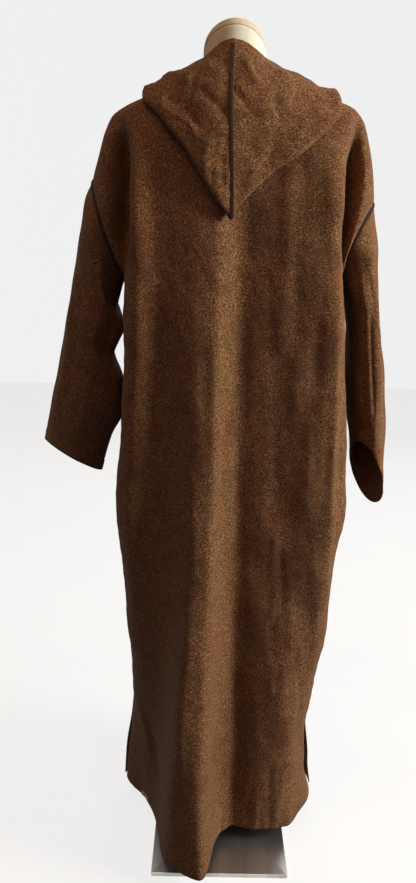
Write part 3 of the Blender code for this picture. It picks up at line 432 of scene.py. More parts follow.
# Push of the folds: bells across their lines, a flat-topped bell for the main fold, less the arm hollows
def foldHeight(x, level, side):
    lift = np.zeros(np.broadcast(x, level).shape)
    fadeIn, fadeOut = robe["foldEnds"]
    for facing, xTop, xLow, riseTop, riseLow, widthLeft, widthRight, top, low in folds:
        if facing == side:
            down = np.clip((top - level) / (top - low), 0.0, 1.0)
            ends = np.clip(down / fadeIn, 0.0, 1.0) * np.clip((1.0 - down) / fadeOut, 0.0, 1.0)
            centre = xTop + (xLow - xTop) * down
            width = np.where(x < centre, widthLeft, widthRight)
            lift = lift + (riseTop + (riseLow - riseTop) * down) * ends * np.exp(-((x - centre) / width) ** 2)
    if side < 0:
        crest = read(mainFold, "crest", level)
        half = np.where(x < crest, read(mainFold, "left", level), read(mainFold, "right", level))
        lift = lift + read(mainFold, "rise", level) / (1.0 + (np.abs(x - crest) / half)
                                                       ** read(mainFold, "power", level))
    steep, easy = robe["hollowHalf"]
    for arm in ("left", "right"):
        away = x - read(armHollow, arm, level)
        half = np.where((away > 0) == (arm == "left"), steep, easy)
        lift = lift - read(armHollow, "deep" + arm.title(), level) * np.exp(-(away / half) ** 2)
    return lift


# Outer surface of the robe: a superellipse across each level between its side edges, pushed out by the
# folds, that turns over to the shoulder line by another superellipse
def robePoint(across, level, side):
    across, level = np.broadcast_arrays(np.asarray(across, float), np.asarray(level, float))
    rise = armRise(level)
    below = level <= underarmZ
    apart = 1.0 if side > 0 else 0.0
    left = np.where(below, read(body, "left", level) - apart * read(slits, "left", level),
                    armholePoint(0, rise, side)[..., 0])
    right = np.where(below, read(body, "right", level) + apart * read(slits, "right", level),
                     armholePoint(1, rise, side)[..., 0])
    x = (left + right) / 2 + (right - left) / 2 * across
    endX = (armholes[0]["topX"] + armholes[1]["topX"]) / 2 \
        + (armholes[1]["topX"] - armholes[0]["topX"]) / 2 * across
    topY, topZ = topLine(endX, side)
    reach = side * robe["backNeck" if side < 0 else "frontNeck"][0]
    softY = reach * np.clip(1.0 - (endX / robe["neckSpread"]) ** 2, 0.0, 1.0) ** 2
    topY = softY + (topY - softY) * rise ** robe["neckRise"]
    square = np.where(across < 0, read(body, "squareLeft", level), read(body, "squareRight", level))
    dome = np.clip(1.0 - np.abs(across) ** square, 0.0, 1.0) ** (1.0 / square)
    power = robe["shoulderRound"]
    turn = np.clip(1.0 - rise ** power, 0.0, 1.0) ** (1.0 / power)
    deep = topY + (side * read(body, "back" if side < 0 else "front", level) - topY) * turn
    share = (across + 1.0) / 2
    seam = read(body, "seamLeft", level) * (1 - share) + read(body, "seamRight", level) * share
    seam = seam + armholePoint(0, rise, side)[..., 1] + apart * read(slits, "open", level)
    edgeFree = fade(1.0 - np.abs(across), 0.0, robe["edgeEase"])
    y = seam + (deep - seam) * dome + side * foldHeight(x, level, side) * edgeFree * turn
    z = np.where(below, level, underarmZ + (topZ - underarmZ) * rise)
    return np.stack([x, y, z], -1)


# Angles of an armhole's points, from under the arm (0) to its top (pi)
armTurns = np.linspace(0.0, math.pi, robe["armRows"] + 1)
lowLevels = np.linspace(hemZ, underarmZ, robe["lowRows"] + 1)
highLevels = underarmZ + (topLevel - underarmZ) * (1.0 - np.cos(armTurns[1:])) / 2
panelLevels = np.concatenate([lowLevels, highLevels])


# Length along a row of points, up to each of them
def lengthAlong(points):
    return np.concatenate([[0.0], np.cumsum(np.linalg.norm(np.diff(points, axis=0), axis=1))])


# Values at even steps along a row of points
def evenRow(points, count, values=None):
    along = lengthAlong(points)
    at = np.linspace(0.0, along[-1], count)
    values = points if values is None else values
    return np.stack([np.interp(at, along, values[:, k]) for k in range(3)], -1)


# Panel: even rows on the robe's surface, softened between rows by a bell over their levels where the
# side seam meets the armhole, then pushed along its normals by its creases, hem and slow waves
def panelGrid(side, creases):
    count = robe["columns"]
    across = np.sin(np.linspace(-math.pi / 2, math.pi / 2, 1201))
    grid = np.stack([evenRow(robePoint(across, level, side), count) for level in panelLevels])
    spacing = np.gradient(panelLevels)
    weights = np.exp(-((panelLevels[:, None] - panelLevels[None]) / robe["easeHeight"]) ** 2) * spacing
    weights /= weights.sum(1, keepdims=True)
    softened = np.einsum("ij,jkc->ikc", weights, grid)
    column = np.linspace(0.0, 1.0, count)
    inside = fade(np.minimum(column, 1 - column), 0.0, 0.05)[None, :, None]
    near = (fade(panelLevels, 0.07, 0.12) * fade(-panelLevels, -1.26, -1.17))[:, None, None]
    grid = grid + (softened - grid) * inside * near
    out = -side * gridNormals(grid)
    x, z = grid[..., 0], grid[..., 2]
    lift = creaseHeight(x, z, creases) + 0.0011 * slowWaves(x, z * 0.45, 0.06, 3 + side) \
        + 0.0004 * slowWaves(x, z * 0.7, 0.021, 8 + side)
    hem = (z - hemZ - robe["hemTurn"]) / 0.003
    lift = lift + robe["hemRidge"] * fade(-hem, -0.5, 0.5) \
        - 0.0009 * np.exp(-(hem / 0.7) ** 2) * (1.0 + 0.5 * slowWaves(x, z, 0.014, 21 + side))
    lift = lift * fade(-panelLevels, -1.392, -1.33)[:, None] * inside[..., 0]
    grid = grid + out * lift[..., None]
    grid[:, :, 1] += side * gap / 2
    return grid


# Neck slit: the columns either side of the middle one move apart, less and less to each side
def openSlit(grid):
    middle = int(np.argmin(np.abs(grid[-1, :-1, 0] + grid[-1, 1:, 0])))
    low, high = robe["slitHalf"]
    slitZ = robe["slitZ"]
    half = low + (high - low) * np.clip((panelLevels - slitZ) / (topLevel - slitZ), 0.0, 1.0)
    signs = np.where(np.arange(grid.shape[1]) > middle, 1.0, -1.0)
    for i in np.flatnonzero(panelLevels >= slitZ - 0.2):
        row = grid[i].copy()
        centre = (row[middle, 0] + row[middle + 1, 0]) / 2
        ease = fade(robe["slitEase"] - np.abs(row[:, 0] - centre), 0.0, robe["slitEase"])
        strength = fade(panelLevels[i], slitZ - 0.2, slitZ - 0.02)
        x = row[:, 0] + (signs * half[i] - centre) * ease * strength
        grid[i] = np.stack([x, np.interp(x, row[:, 0], row[:, 1]), np.interp(x, row[:, 0], row[:, 2])], -1)
    cut = np.zeros((grid.shape[0] - 1, grid.shape[1] - 1), dtype=bool)
    cut[panelLevels[:-1] >= slitZ, middle] = True
    return grid, cut


# Outer surface of a sleeve: along straight lines from ring to ring, each ring an ellipse whose long
# axis joins its outer and inner edge, blended into the armhole seam at its top
def sleevePoint(arm, along, turn):
    along, turn = np.broadcast_arrays(np.asarray(along, float), np.asarray(turn, float))
    rows = sleeves[arm]
    zero = np.zeros_like(along)
    outer = np.stack([read(rows, "outerX", along), zero, read(rows, "outerZ", along)], -1)
    inner = np.stack([read(rows, "innerX", along), zero, read(rows, "innerZ", along)], -1)
    back = np.stack([zero, -read(rows, "depth", along), read(rows, "lift", along)], -1)
    point = (outer + inner) / 2 - (outer - inner) / 2 * np.cos(turn)[..., None] + back * np.sin(turn)[..., None]
    top = np.array([rows["outerX"][0], 0.0, rows["outerZ"][0]])
    low = np.array([rows["innerX"][0], 0.0, rows["innerZ"][0]])
    first = (top + low) / 2 - (top - low) / 2 * np.cos(turn)[..., None] \
        + np.array([0.0, -rows["depth"][0], 0.0]) * np.sin(turn)[..., None]
    seam = armholePoint(arm, (1.0 - np.cos(turn)) / 2, -1)
    seam[..., 1] *= np.where(turn > math.pi, -1.0, 1.0)
    return point + (seam - first) * (np.clip(1.0 - along / robe["seamBlend"], 0.0, 1.0) ** 2)[..., None]


# creases of each sleeve, in share of its length and angle: both ends (angle, along), half width, height, bow
sleeveCreases = (
    ((1.1, 0.06, 1.3, 0.6, 0.16, 0.004, 0.05), (1.85, 0.1, 2.05, 0.85, 0.2, -0.004, 0.08),
     (2.45, 0.25, 2.3, 0.98, 0.18, 0.0036, -0.05), (0.7, 0.1, 0.8, 0.75, 0.16, -0.0036, 0.04),
     (0.3, 0.2, 0.6, 0.6, 0.14, 0.003, 0.05), (1.45, 0.45, 1.4, 0.98, 0.14, 0.0026, 0.05),
     (3.6, 0.1, 4.1, 0.8, 0.2, 0.0044, 0.08), (4.7, 0.1, 4.6, 0.9, 0.22, -0.0046, 0.08),
     (5.4, 0.2, 5.2, 0.8, 0.18, 0.004, 0.06), (5.9, 0.05, 5.8, 0.5, 0.15, -0.0034, 0.04)),
    ((0.6, 0.05, 1.5, 0.34, 0.16, 0.0046, 0.06), (1.0, 0.05, 1.95, 0.3, 0.12, -0.004, 0.05),
     (1.4, 0.3, 1.6, 0.9, 0.17, -0.0044, 0.08), (2.0, 0.2, 2.15, 0.8, 0.18, 0.0044, -0.06),
     (2.6, 0.15, 2.5, 0.55, 0.14, -0.0034, 0.05), (2.75, 0.45, 2.65, 0.98, 0.15, 0.0038, 0.04),
     (0.85, 0.45, 0.95, 0.92, 0.14, 0.003, 0.04), (3.7, 0.1, 3.6, 0.7, 0.18, -0.0042, 0.06),
     (4.4, 0.15, 4.5, 0.9, 0.22, 0.0046, 0.08), (5.2, 0.1, 5.1, 0.8, 0.18, -0.004, 0.05),
     (5.7, 0.3, 5.6, 0.9, 0.15, 0.0034, 0.04)))


# Sleeve: rings from the armhole to the cuff, pushed along their normals by creases and the cuff's hem
def sleeveGrid(arm):
    turn = np.concatenate([armTurns, 2 * math.pi - armTurns[-2:0:-1]])
    along = np.linspace(0.0, 1.0, robe["sleeveRows"]) ** 1.15
    grid = sleevePoint(arm, along[:, None], turn[None])
    out = gridNormals(grid, True)
    out *= np.sign(((grid - grid.mean(1, keepdims=True)) * out).sum())
    u, v = turn[None], along[:, None]
    lift = creaseHeight(u, v, sleeveCreases[arm]) + creaseHeight(u - 2 * math.pi, v, sleeveCreases[arm])
    lift = lift + 0.0009 * slowWaves(grid[..., 0] + grid[..., 1], grid[..., 2] * 0.5, 0.055, 31 + arm)
    lift = lift * fade(v, 0.02, 0.14)
    hem = (v - 0.953) / 0.006
    lift = lift + 0.0006 * fade(hem, -0.5, 0.5) \
        - 0.0008 * np.exp(-(hem / 0.7) ** 2) * (1.0 + 0.4 * np.sin(u * 31) * np.sin(u * 13 + 1.0))
    return grid + out * lift[..., None], out


armUpper = robe["lowRows"]
panels, panelOut = {}, {}
for side, creases in ((-1, backCreases), (1, frontCreases)):
    grid = panelGrid(side, creases)
    if side > 0:
        grid, slitCut = openSlit(grid)
    out = -side * gridNormals(grid)
    for edge in (0, -1):
        out[:, edge, 1] = 0.0
    out[-1, :, 1] = 0.0
    panels[side], panelOut[side] = grid, unit(out)

pieces = {}
sleeveData = []
for arm, name in enumerate(("sleeve_left", "sleeve_right")):
    rings, _ = sleeveGrid(arm)
    out = gridNormals(rings, True)
    out *= np.sign(((rings - rings.mean(1, keepdims=True)) * out).sum())
    edge, inward = (0, 1) if arm == 0 else (-1, -1)
    around = np.concatenate([panelOut[-1][armUpper:, edge], panelOut[1][armUpper:, edge][-2:0:-1]])
    shared = unit(around + out[0] + np.array([0.0, 0.0, -robe["seamDrop"]]))
    away = unit(np.cross(np.roll(rings[0], -1, 0) - np.roll(rings[0], 1, 0), shared))
    away *= np.sign((away * (rings[8] - rings[0])).sum(1, keepdims=True))
    rows = len(armTurns)
    for k in range(6):                    # walls share one direction at the seam, and part from it slowly
        keep = k / 6
        rings[k] += away * gap * 1.5 * (1 - keep)
        out[k] = unit(out[k] * keep + shared * (1 - keep))
        column = edge + inward * k
        for side, turned in ((-1, shared[:rows]), (1, np.concatenate([shared[:1], shared[:rows - 2:-1]]))):
            own = panelOut[side][armUpper:, column]
            panelOut[side][armUpper:, column] = unit(own * keep + turned * (1 - keep))
    pieces[name] = makeWall(name + "_cloth", rings, out, thick, wool, wrap=True)
    sleeveData.append((rings, out))

pieces["panel_back"] = makeWall("panel_back_cloth", panels[-1], panelOut[-1], thick, wool)
pieces["panel_front"] = makeWall("panel_front_cloth", panels[1], panelOut[1], thick, wool, cut=slitCut)


# The hood
print("stage 3: hood")
hoodSettings = {"shift": -0.011, "shiftReach": 0.3, "columns": 120, "rowsPerStep": 5,
                "steps": (1, 1, 1, 2, 2, 2, 1, 1, 1, 1, 2, 2, 2, 3, 1), "edgeKey": 8, "shoulder": 0.66}
hood = table(
    "s neckX leftX leftZ rightX rightZ rimR rimZ fall loft puff",
    (0.0, 0.0, 0.0, 1.196, 0.0, 1.196, 0.071, 1.484, 0.011, 0.016, 0.018),
    (0.14, 0.02, 0.034, 1.246, 0.03, 1.232, 0.071, 1.48, 0.011, 0.016, 0.019),
    (0.28, 0.04, 0.064, 1.288, 0.06, 1.262, 0.073, 1.469, 0.01, 0.016, 0.018),
    (0.41, 0.058, 0.096, 1.328, 0.103, 1.299, 0.075, 1.458, 0.009, 0.018, 0.016),
    (0.52, 0.072, 0.128, 1.365, 0.148, 1.34, 0.079, 1.454, 0.006, 0.017, 0.013),
    (0.6, 0.081, 0.148, 1.389, 0.173, 1.372, 0.083, 1.451, 0.004, 0.015, 0.011),
    (0.66, 0.085, 0.147, 1.5, 0.167, 1.5, 0.087, 1.448, 0.003, 0.015, 0.01),
    (0.76, 0.078, 0.132, 1.384, 0.14, 1.38, 0.091, 1.436, 0.002, 0.0145, 0.011),
    (0.88, 0.05, 0.088, 1.356, 0.09, 1.354, 0.087, 1.414, 0.004, 0.013, 0.012),
    (1.0, 0.018, 0.034, 1.338, 0.035, 1.338, 0.083, 1.392, 0.005, 0.0115, 0.011))

# creases of the hood, as on the panels
hoodCreases = np.array((
    (-86, 1376, -52, 1330, 5, -3, 3), (-66, 1412, 10, 1342, 6, -3.4, 8), (-80, 1350, -60, 1312, 5, 2.6, -2),
    (-40, 1330, -50, 1210, 10, 4, 5), (-112, 1395, -126, 1350, 7, 2.4, 2), (20, 1352, 100, 1395, 8, 3, 5),
    (-16, 1404, 26, 1356, 5, -3, -3), (22, 1262, 75, 1330, 10, -3.2, 5), (95, 1345, 155, 1378, 8, 2.8, 3),
    (-52, 1462, -70, 1388, 6, -2.8, 3), (12, 1456, 46, 1388, 6, 2.8, 4), (20, 1466, 92, 1410, 5.5, 2.6, -4),
    (55, 1310, 20, 1230, 9, 3, 4), (-100, 1408, -30, 1450, 6, 2.2, 3), (60, 1390, 78, 1340, 6, -2.2, 2),
    (-20, 1300, -16, 1230, 6, -2, 2))) / 1000


# Smooth curves through rows of key points: cubics whose slopes are the keys' central differences
def curveThrough(keys, steps):
    lengths = np.linalg.norm(np.diff(keys, axis=0), axis=2).mean(1)
    places = np.concatenate([[0.0], np.cumsum(np.sqrt(lengths))])
    slopes = np.gradient(keys, places, axis=0)
    i = np.append(np.repeat(np.arange(len(steps)), steps), len(steps) - 1)
    t = np.concatenate([np.arange(n) / n for n in steps] + [[1.0]])[:, None, None]
    step = (places[i + 1] - places[i])[:, None, None]
    return (keys[i] * (1 + 2 * t) * (1 - t) ** 2 + keys[i + 1] * t * t * (3 - 2 * t)
            + step * t * (1 - t) * (slopes[i] * (1 - t) - slopes[i + 1] * t))


# Place and outward direction on the robe, from an x and the square root of the drop below the shoulder
def robeSpot(x, level, side):
    rise = armRise(level)
    left, right = armholePoint(0, rise, side)[..., 0], armholePoint(1, rise, side)[..., 0]
    across = (2 * x - left - right) / (right - left)
    point = robePoint(across, level, side)
    step = robe["spotStep"]
    over = robePoint(across + step, level, side) - robePoint(across - step, level, side)
    up = robePoint(across, np.minimum(level + step, topLevel), side) - robePoint(across, level - step, side)
    return point, -side * unit(np.cross(over, up))


# Half the hood: from its neck seam down over the robe, round its lower edge, and back up over itself to
# its rim round the neck; each key line keeps a height above the robe, and curves join them
def hoodGrid(arm, s):
    hand = -1.0 if arm == "left" else 1.0
    knots = hood["s"]
    shoulder = hoodSettings["shoulder"]
    edgeX, edgeZ = hood[arm + "X"] * hand, hood[arm + "Z"]
    side = np.where(knots < shoulder, -1.0, 1.0)
    topZ = np.where(side < 0, topLine(edgeX, -1)[1], topLine(edgeX, 1)[1])
    root = side * np.sqrt(np.clip(1.0 - (edgeZ - underarmZ)
                                  / (topZ - underarmZ), 0.0, 1.0))
    shift = hoodSettings["shift"] * np.exp(-(s / hoodSettings["shiftReach"]) ** 2)
    neckX = hand * smooth(s, knots, hood["neckX"]) + 0.5 * shift
    edgeX = smooth(s, knots, edgeX) + shift
    root = smooth(s, knots, root)
    rimR, rimZ, fall, loft, puff = (smooth(s, knots, hood[name])
                                    for name in ("rimR", "rimZ", "fall", "loft", "puff"))
    facing = np.where(s < shoulder, -1.0, 1.0)

    def spot(share, height):
        drop = np.maximum((root * share) ** 2, 1e-7)
        level = topLevel - drop * (topLevel - underarmZ)
        x = neckX + (edgeX - neckX) * share
        back, backOut = robeSpot(x, level, -1)
        front, frontOut = robeSpot(x, level, 1)
        point = np.where((facing < 0)[:, None], back, front)
        out = np.where((facing < 0)[:, None], backOut, frontOut)
        upright = unit(point * np.array([1.0, 1.0, 0.0])) * 0.45 + np.array([0.0, 0.0, 0.9])
        near = max(0.0, 1.0 - share * share / 0.6)
        return point + unit(out * (1.0 - near) + upright * near) * np.asarray(height)[..., None]

    seam = spot(0.0, 0.0014 + 0.0024 * np.clip((s - 0.68) / 0.1, 0.0, 1.0))
    radial = unit(seam * np.array([1.0, 1.0, 0.0]))
    upward = np.array([0.0, 0.0, 1.0])
    edge = spot(1.0, loft / 2 + 0.003)
    edge = edge + 0.005 * unit(edge - spot(0.9, loft / 2 + 0.003))
    keys = np.stack([
        seam, spot(0.08, 0.0036), spot(0.2, 0.005), spot(0.36, 0.0056), spot(0.55, 0.0056),
        spot(0.79, 0.005), spot(0.95, 0.0048), spot(1.0, 0.006), edge, spot(1.0, loft),
        spot(0.95, loft + 0.0015), spot(0.82, (loft + puff) / 2 + 0.002), spot(0.63, puff * 1.1 + 0.002),
        spot(0.39, puff * 1.2 + 0.003), radial * (rimR + 0.008)[:, None] + upward * (rimZ - fall)[:, None],
        radial * rimR[:, None] + upward * rimZ[:, None]])
    grid = curveThrough(keys, [n * hoodSettings["rowsPerStep"] for n in hoodSettings["steps"]])
    grid[:, 0, 0] += hand * gap / 2
    return grid


hoodPlaces = np.linspace(0.0, 1.0, hoodSettings["columns"])
edgeRow = sum(hoodSettings["steps"][:hoodSettings["edgeKey"]]) * hoodSettings["rowsPerStep"]
hoodData = {}
for arm, hand in (("left", -1.0), ("right", 1.0)):
    grid = hoodGrid(arm, hoodPlaces)
    out = hand * gridNormals(grid)
    x, z = grid[..., 0], grid[..., 2]
    row = np.arange(grid.shape[0])[:, None]
    upper = fade(row, edgeRow, edgeRow + 12) * fade(-row, -(grid.shape[0] - 2), -(grid.shape[0] - 16))
    lift = creaseHeight(x, z, hoodCreases) * (grid[..., 1] < 0.02) \
        + 0.001 * slowWaves(x, z, 0.045, 51 + int(hand)) + 0.0005 * slowWaves(x, z, 0.016, 61 + int(hand))
    lift = lift * upper * fade(hoodPlaces, 0.0, 0.03)[None]
    grid = grid + out * lift[..., None]
    out = hand * gridNormals(grid)
    out[:, 0, 0] = 0.0
    hoodData[arm] = (grid, unit(out))
    pieces["hood_" + arm] = makeWall("hood_" + arm + "_cloth", grid, unit(out), thick, wool)


# Braids, tag
print("stage 4: braids and tag")
braid = {"width": 0.0066, "thick": 0.001, "lift": 0.0006, "pitch": 0.0024, "plait": 0.00022,
                 "seamStep": 0.0015, "skipUnderArm": 0.3}


# Braid on a strip of surface: crowned across by a power of the distance from its middle, with a plait
# of slanted ribs that lean opposite ways on its two halves
def makeBraid(name, base, out, material):
    rows, cols = base.shape[:2]
    across = np.linspace(-1.0, 1.0, cols)[None]
    length = lengthAlong(base[:, cols // 2])[:, None]
    crown = (1.0 - np.abs(across) ** 4) * braid["thick"] * 0.45
    ribs = np.abs(np.sin(math.pi * (length / braid["pitch"] + np.abs(across) * 0.8)))
    height = braid["lift"] + braid["thick"] * 0.55 + crown + braid["plait"] * ribs \
        * (1.0 - np.abs(across) ** 6)
    spread = np.stack(np.broadcast_arrays(across * braid["width"] / 2, length), -1)
    return makeWall(name, base + out * height[..., None], out, braid["thick"] * 0.55, material,
                    spread=spread)


for arm, name in enumerate(("braid_armhole_left", "braid_armhole_right")):
    skip = braid["skipUnderArm"]
    turn = np.linspace(skip * math.pi, (2 - skip) * math.pi, 520)
    speed = np.linalg.norm(sleevePoint(arm, 0.02, turn) - sleevePoint(arm, 0.0, turn), axis=-1) / 0.02
    steps = braid["seamStep"] + braid["width"] * np.linspace(0.0, 1.0, 9)
    strip = sleevePoint(arm, steps[None] / speed[:, None], turn[:, None])
    out = gridNormals(strip)
    out *= np.sign(((strip - strip.mean((0, 1)))[..., :2] * out[..., :2]).sum())
    pieces[name] = makeBraid(name + "_plait", strip, out, braidFinish)

grid, out = hoodData["left"]
path, pathOut = grid[edgeRow + 2:-5, 0], out[edgeRow + 2:-5, 0]
path, pathOut = evenRow(path, 480), unit(evenRow(path, 480, pathOut))
offsets = np.linspace(-0.5, 0.5, 9) * braid["width"] + gap / 2
strip = path[:, None] + np.array([1.0, 0.0, 0.0]) * offsets[None, :, None]
pieces["braid_hood"] = makeBraid("braid_hood_plait", strip, np.repeat(pathOut[:, None], 9, 1), braidFinish)

# Tag: a patch of the back's surface lifted clear of it, with a small curl at its lower corners
tagSettings = {"width": 0.014, "height": 0.011, "thick": 0.0006, "x": -0.152, "lift": 0.0008}
x = tagSettings["x"] + tagSettings["width"] * np.linspace(-0.5, 0.5, 15)[None]
level = hemZ + 0.002 + tagSettings["height"] * np.linspace(0.0, 1.0, 12)[:, None]
left, right = read(body, "left", level), read(body, "right", level)
patch = robePoint((2 * x - left - right) / (right - left), level, -1)
out = gridNormals(patch)
curl = 0.0012 * np.linspace(1.0, 0.0, 12)[:, None] ** 2 * np.linspace(-1.0, 1.0, 15)[None] ** 2
pieces["hem_label"] = makeWall("hem_label_tape", patch + out * (tagSettings["lift"] + tagSettings["thick"]
                                                                + curl)[..., None],
                               out, tagSettings["thick"], tapeFinish)


# Dress form and stand
print("stage 5: dress form and stand")
form = {"neckRadius": 0.0545, "neckCut": (1.47, 0.72), "groove": 0.0016, "capThick": 0.017,
                "around": 96, "neckSideZ": 1.428}
trunk = table("z half back front", (0.7, 0.145, 0.095, 0.085), (0.76, 0.158, 0.104, 0.09),
              (0.84, 0.16, 0.104, 0.092), (0.94, 0.138, 0.09, 0.088), (1.02, 0.128, 0.084, 0.088),
              (1.12, 0.146, 0.095, 0.104), (1.22, 0.16, 0.104, 0.108), (1.3, 0.176, 0.098, 0.08),
              (1.345, 0.187, 0.082, 0.06))
formShoulders = ((0.18, 0.0008, 0.06, 0.046, 1.9), (0.16, 0.0008, 0.052, 0.04, 1.7),
                 (0.135, 0.0008, 0.046, 0.034, 1.6), (0.11, 0.0012, 0.043, 0.029, 1.6),
                 (0.092, 0.005, 0.044, 0.026, 1.6), (0.074, 0.0045, 0.048, 0.034, 1.7),
                 (0.06, 0.002, 0.0525, 0.0525, 2.0))
stand = {"poleRadius": 0.0125, "flange": (0.045, 0.006), "base": (0.256, 0.43, 0.008),
                 "torsoBottom": 0.7, "baseEdge": 0.0012}


# Ring of a superellipse whose reach differs behind and in front; slope lowers it towards the front
def oval(half, back, front, z, slope=0.0, square=2.15):
    turn = np.linspace(0.0, 2 * math.pi, form["around"], endpoint=False)
    x = half * np.sign(np.cos(turn)) * np.abs(np.cos(turn)) ** (2 / square)
    y = np.sign(np.sin(turn)) * np.abs(np.sin(turn)) ** (2 / square)
    y = y * np.where(y < 0, back, front)
    return np.stack([x, y, z - slope * y], -1)


# Closed solid through rings, first ring at the bottom, with a fan to the middle of each end
def makeLoft(name, rings, material):
    rows, cols = rings.shape[:2]
    index = np.arange(rows * cols).reshape(rows, cols)
    right = np.roll(index, -1, 1)
    quads = np.stack([index[:-1], right[:-1], right[1:], index[1:]], -1).reshape(-1, 4)
    low = np.stack([right[0], index[0], np.full(cols, rows * cols)], -1)
    high = np.stack([index[-1], right[-1], np.full(cols, rows * cols + 1)], -1)
    points = np.concatenate([rings.reshape(-1, 3), rings[0].mean(0)[None], rings[-1].mean(0)[None]])
    return makeMesh(name, points, quads.tolist() + low.tolist() + high.tolist(), material)


# Rings between rings: each point follows the same harmonic cubic through its own column
def fineRings(rings, steps):
    at = np.linspace(0.0, len(rings) - 1, (len(rings) - 1) * steps + 1)
    places = np.arange(len(rings), dtype=float)
    flat = rings.reshape(len(rings), -1)
    fine = np.stack([smooth(at, places, flat[:, k]) for k in range(flat.shape[1])], -1)
    return fine.reshape(-1, *rings.shape[1:])


rings = [oval(*row[1:], row[0]) for row in zip(*(trunk[name] for name in trunk))]
for half, under, back, front, square in formShoulders:
    clothZ = min(read(shoulderLine, "z", half), read(shoulderLine, "z", -half)) - thick
    rings.append(oval(half, back, front, clothZ - under, square=square))
neckRadius, (cutZ, cutSlope) = form["neckRadius"], form["neckCut"]
for share in (0.45, 0.97, 1.0):
    z = form["neckSideZ"] + (cutZ - form["neckSideZ"]) * share
    radius = neckRadius - (0.0006 if share == 1.0 else 0.0)
    rings.append(oval(radius, radius, radius, z, cutSlope * share, square=2.0))
pieces["form_torso"] = makeLoft("form_torso_jersey", fineRings(np.stack(rings), 5), jerseyFinish)

lean = unit(np.array([0.0, cutSlope, 1.0]))
top = oval(neckRadius, neckRadius, neckRadius, cutZ, cutSlope, square=2.0)
centre = np.array([0.0, 0.0, cutZ])
start = gap
pieces["form_neck_joint"] = makeLoft("form_neck_joint_felt", np.stack(
    [centre + (top - centre) * 0.96 + lean * (start + form["groove"] * h) for h in (0.0, 1.0)]),
    feltFinish)
start += form["groove"] + gap
capThick = form["capThick"]
profile = ((0.0, 0.985), (0.0006, 0.996), (0.0015, 1.0), (capThick * 0.5, 1.0), (capThick - 0.0045, 0.995),
           (capThick - 0.0028, 0.988), (capThick - 0.0012, 0.97), (capThick - 0.0003, 0.945), (capThick, 0.915),
           (capThick + 0.0003, 0.5))
pieces["form_neck_cap"] = makeLoft("form_neck_cap_cloth", np.stack(
    [centre + (top - centre) * k + lean * (start + h) for h, k in profile]), drillFinish)

foot = stand["base"][2] + gap
flangeRadius, flangeThick = stand["flange"]
poleRadius = stand["poleRadius"]
flangeTop = foot + flangeThick
profile = ((flangeRadius - 0.0008, foot), (flangeRadius, foot + 0.0008), (flangeRadius, flangeTop - 0.001),
           (flangeRadius - 0.0003, flangeTop - 0.0003), (flangeRadius - 0.001, flangeTop),
           (poleRadius + 0.003, flangeTop + 0.0006), (poleRadius + 0.0008, flangeTop + 0.0018),
           (poleRadius, flangeTop + 0.004), (poleRadius, stand["torsoBottom"] - gap))
rings = np.stack([oval(r, r, r, z, square=2.0) for r, z in profile])
pieces["stand_pole"] = makeLoft("stand_pole_steel", rings, steelFinish)


# Plate: a rectangle with rounded corners at each height, drawn in by the rounding of its edges
def plateRing(inset, z):
    width, length, _ = stand["base"]
    corner = 0.004
    turn = np.linspace(0.0, 2 * math.pi, 48, endpoint=False) + math.pi / 48
    x = np.sign(np.cos(turn)) * (width / 2 - corner) + np.cos(turn) * (corner - inset)
    y = np.sign(np.sin(turn)) * (length / 2 - corner) + np.sin(turn) * (corner - inset)
    return np.stack([x, y, np.full_like(x, z)], -1)


edge, plateThick = stand["baseEdge"], stand["base"][2]
bends = [(edge * (1 - math.sin(a)), edge * (1 - math.cos(a))) for a in np.linspace(0, math.pi / 2, 5)]
profile = [(inset, z) for inset, z in bends] + [(inset, plateThick - z) for inset, z in bends[::-1]]
pieces["stand_base"] = makeLoft("stand_base_steel", np.stack([plateRing(*row) for row in profile]), steelFinish)


# Pieces grouped by cloth or finish: each hides the imported part it stands for and hangs on the root body
print("stage 6: bodies, slots and sheets")
slots = {"wool": "panel_back panel_front sleeve_left sleeve_right hood_left hood_right",
         "braid": "braid_armhole_left braid_armhole_right braid_hood", "tape": "hem_label",
         "jersey": "form_torso", "felt": "form_neck_joint", "cap": "form_neck_cap",
         "steel": "stand_pole stand_base"}
for slot, nodes in slots.items():
    for node in nodes.split():
        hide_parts(node)
        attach(pieces[node], "root")


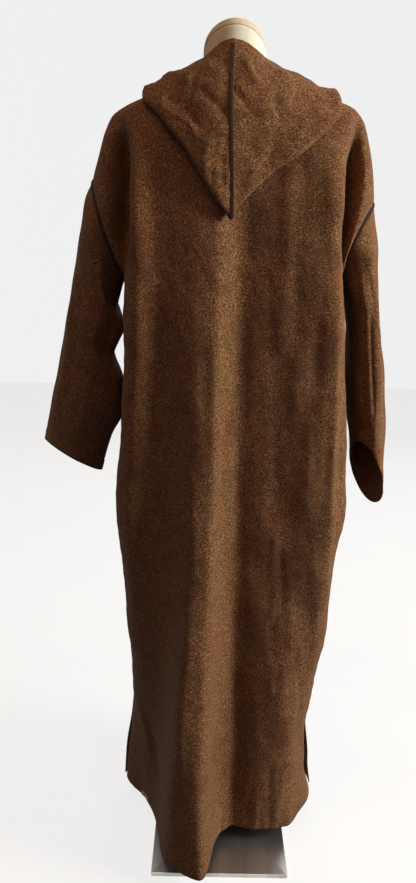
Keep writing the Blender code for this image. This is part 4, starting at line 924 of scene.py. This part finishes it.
# Floor and light
lightSettings = {"world": "#ffb57a", "worldStrength": 0.035, "backdrop": 0.83, "backdropRadius": 14.0}
floorFinish = makeFinish("plain painted floor", "#6d6c6a", "#72716e", 0.4, {"Roughness": 0.9,
                         "Specular IOR Level": 0.0, "Emission Color": linear("#ffffff"),
                         "Emission Strength": 0.8}, 0.05, 0.0002)
corners = np.array([(-6, -6, 0), (6, -6, 0), (6, 6, 0), (-6, 6, 0)], float)
floor = makeMesh("floor", corners, [[0, 1, 2, 3]], floorFinish)
floor.visible_diffuse = False
floor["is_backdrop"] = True

world = bpy.data.worlds.new("studio")
bpy.context.scene.world = world
world.use_nodes = True
world.node_tree.nodes["Background"].inputs["Color"].default_value = linear(lightSettings["world"])
world.node_tree.nodes["Background"].inputs["Strength"].default_value = lightSettings["worldStrength"]


# Square soft light of a size in metres and a power in watts, turned to face a point
def addLight(name, place, aim, size, power, colour):
    data = bpy.data.lights.new(name, "AREA")
    data.size, data.energy, data.color = size, power, linear(colour)[:3]
    lamp = bpy.data.objects.new(name, data)
    bpy.context.scene.collection.objects.link(lamp)
    away = unit(np.array(place) - np.array(aim))
    side = unit(np.cross((0.0, 0.0, 1.0), away))
    turned = np.stack([side, np.cross(away, side), away], 1)
    lamp.matrix_world = Matrix.Translation(place) @ Matrix(turned.tolist()).to_4x4()


addLight("key light", (3.0, -0.8, 1.9), (0.0, 0.0, 0.85), 1.3, 172.0, "#fffcf8")
addLight("fill light", (-0.3, -3.2, 2.6), (0.0, 0.0, 0.9), 1.8, 11.0, "#ffbe85")
addLight("top light", (-0.4, -0.9, 4.2), (0.0, 0.0, 1.3), 1.6, 36.0, "#ffd2a3")
addLight("back light", (0.6, 2.6, 2.4), (0.0, 0.0, 0.9), 1.8, 40.0, "#ffffff")

# Backdrop: a wide pale dome behind everything, seen by the camera and by polished metal, that sheds no
# light and casts no shadow
turn = np.linspace(0.0, 2 * math.pi, 64, endpoint=False)[None, :, None]
climb = np.linspace(-0.25, math.pi / 2 - 0.02, 24)[:, None, None]
dome = np.concatenate([np.cos(climb) * np.cos(turn), np.cos(climb) * np.sin(turn),
                       np.sin(climb) + 0.0 * turn], -1) * lightSettings["backdropRadius"]
dropFinish, _, dropShader = newMaterial("matt paper backdrop")
dropShader.inputs["Base Color"].default_value = (0.0, 0.0, 0.0, 1.0)
dropShader.inputs["Emission Color"].default_value = linear("#ffffff")
dropShader.inputs["Emission Strength"].default_value = lightSettings["backdrop"]
backdrop = makeLoft("backdrop", dome[::-1], dropFinish)
backdrop.visible_diffuse = backdrop.visible_shadow = backdrop.visible_transmission = False
backdrop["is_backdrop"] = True
bpy.context.scene.view_settings.view_transform = "Standard"

corners = {"cad": [list(map(float, c)) for c in cadBox], "visual": [list(map(float, c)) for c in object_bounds()]}
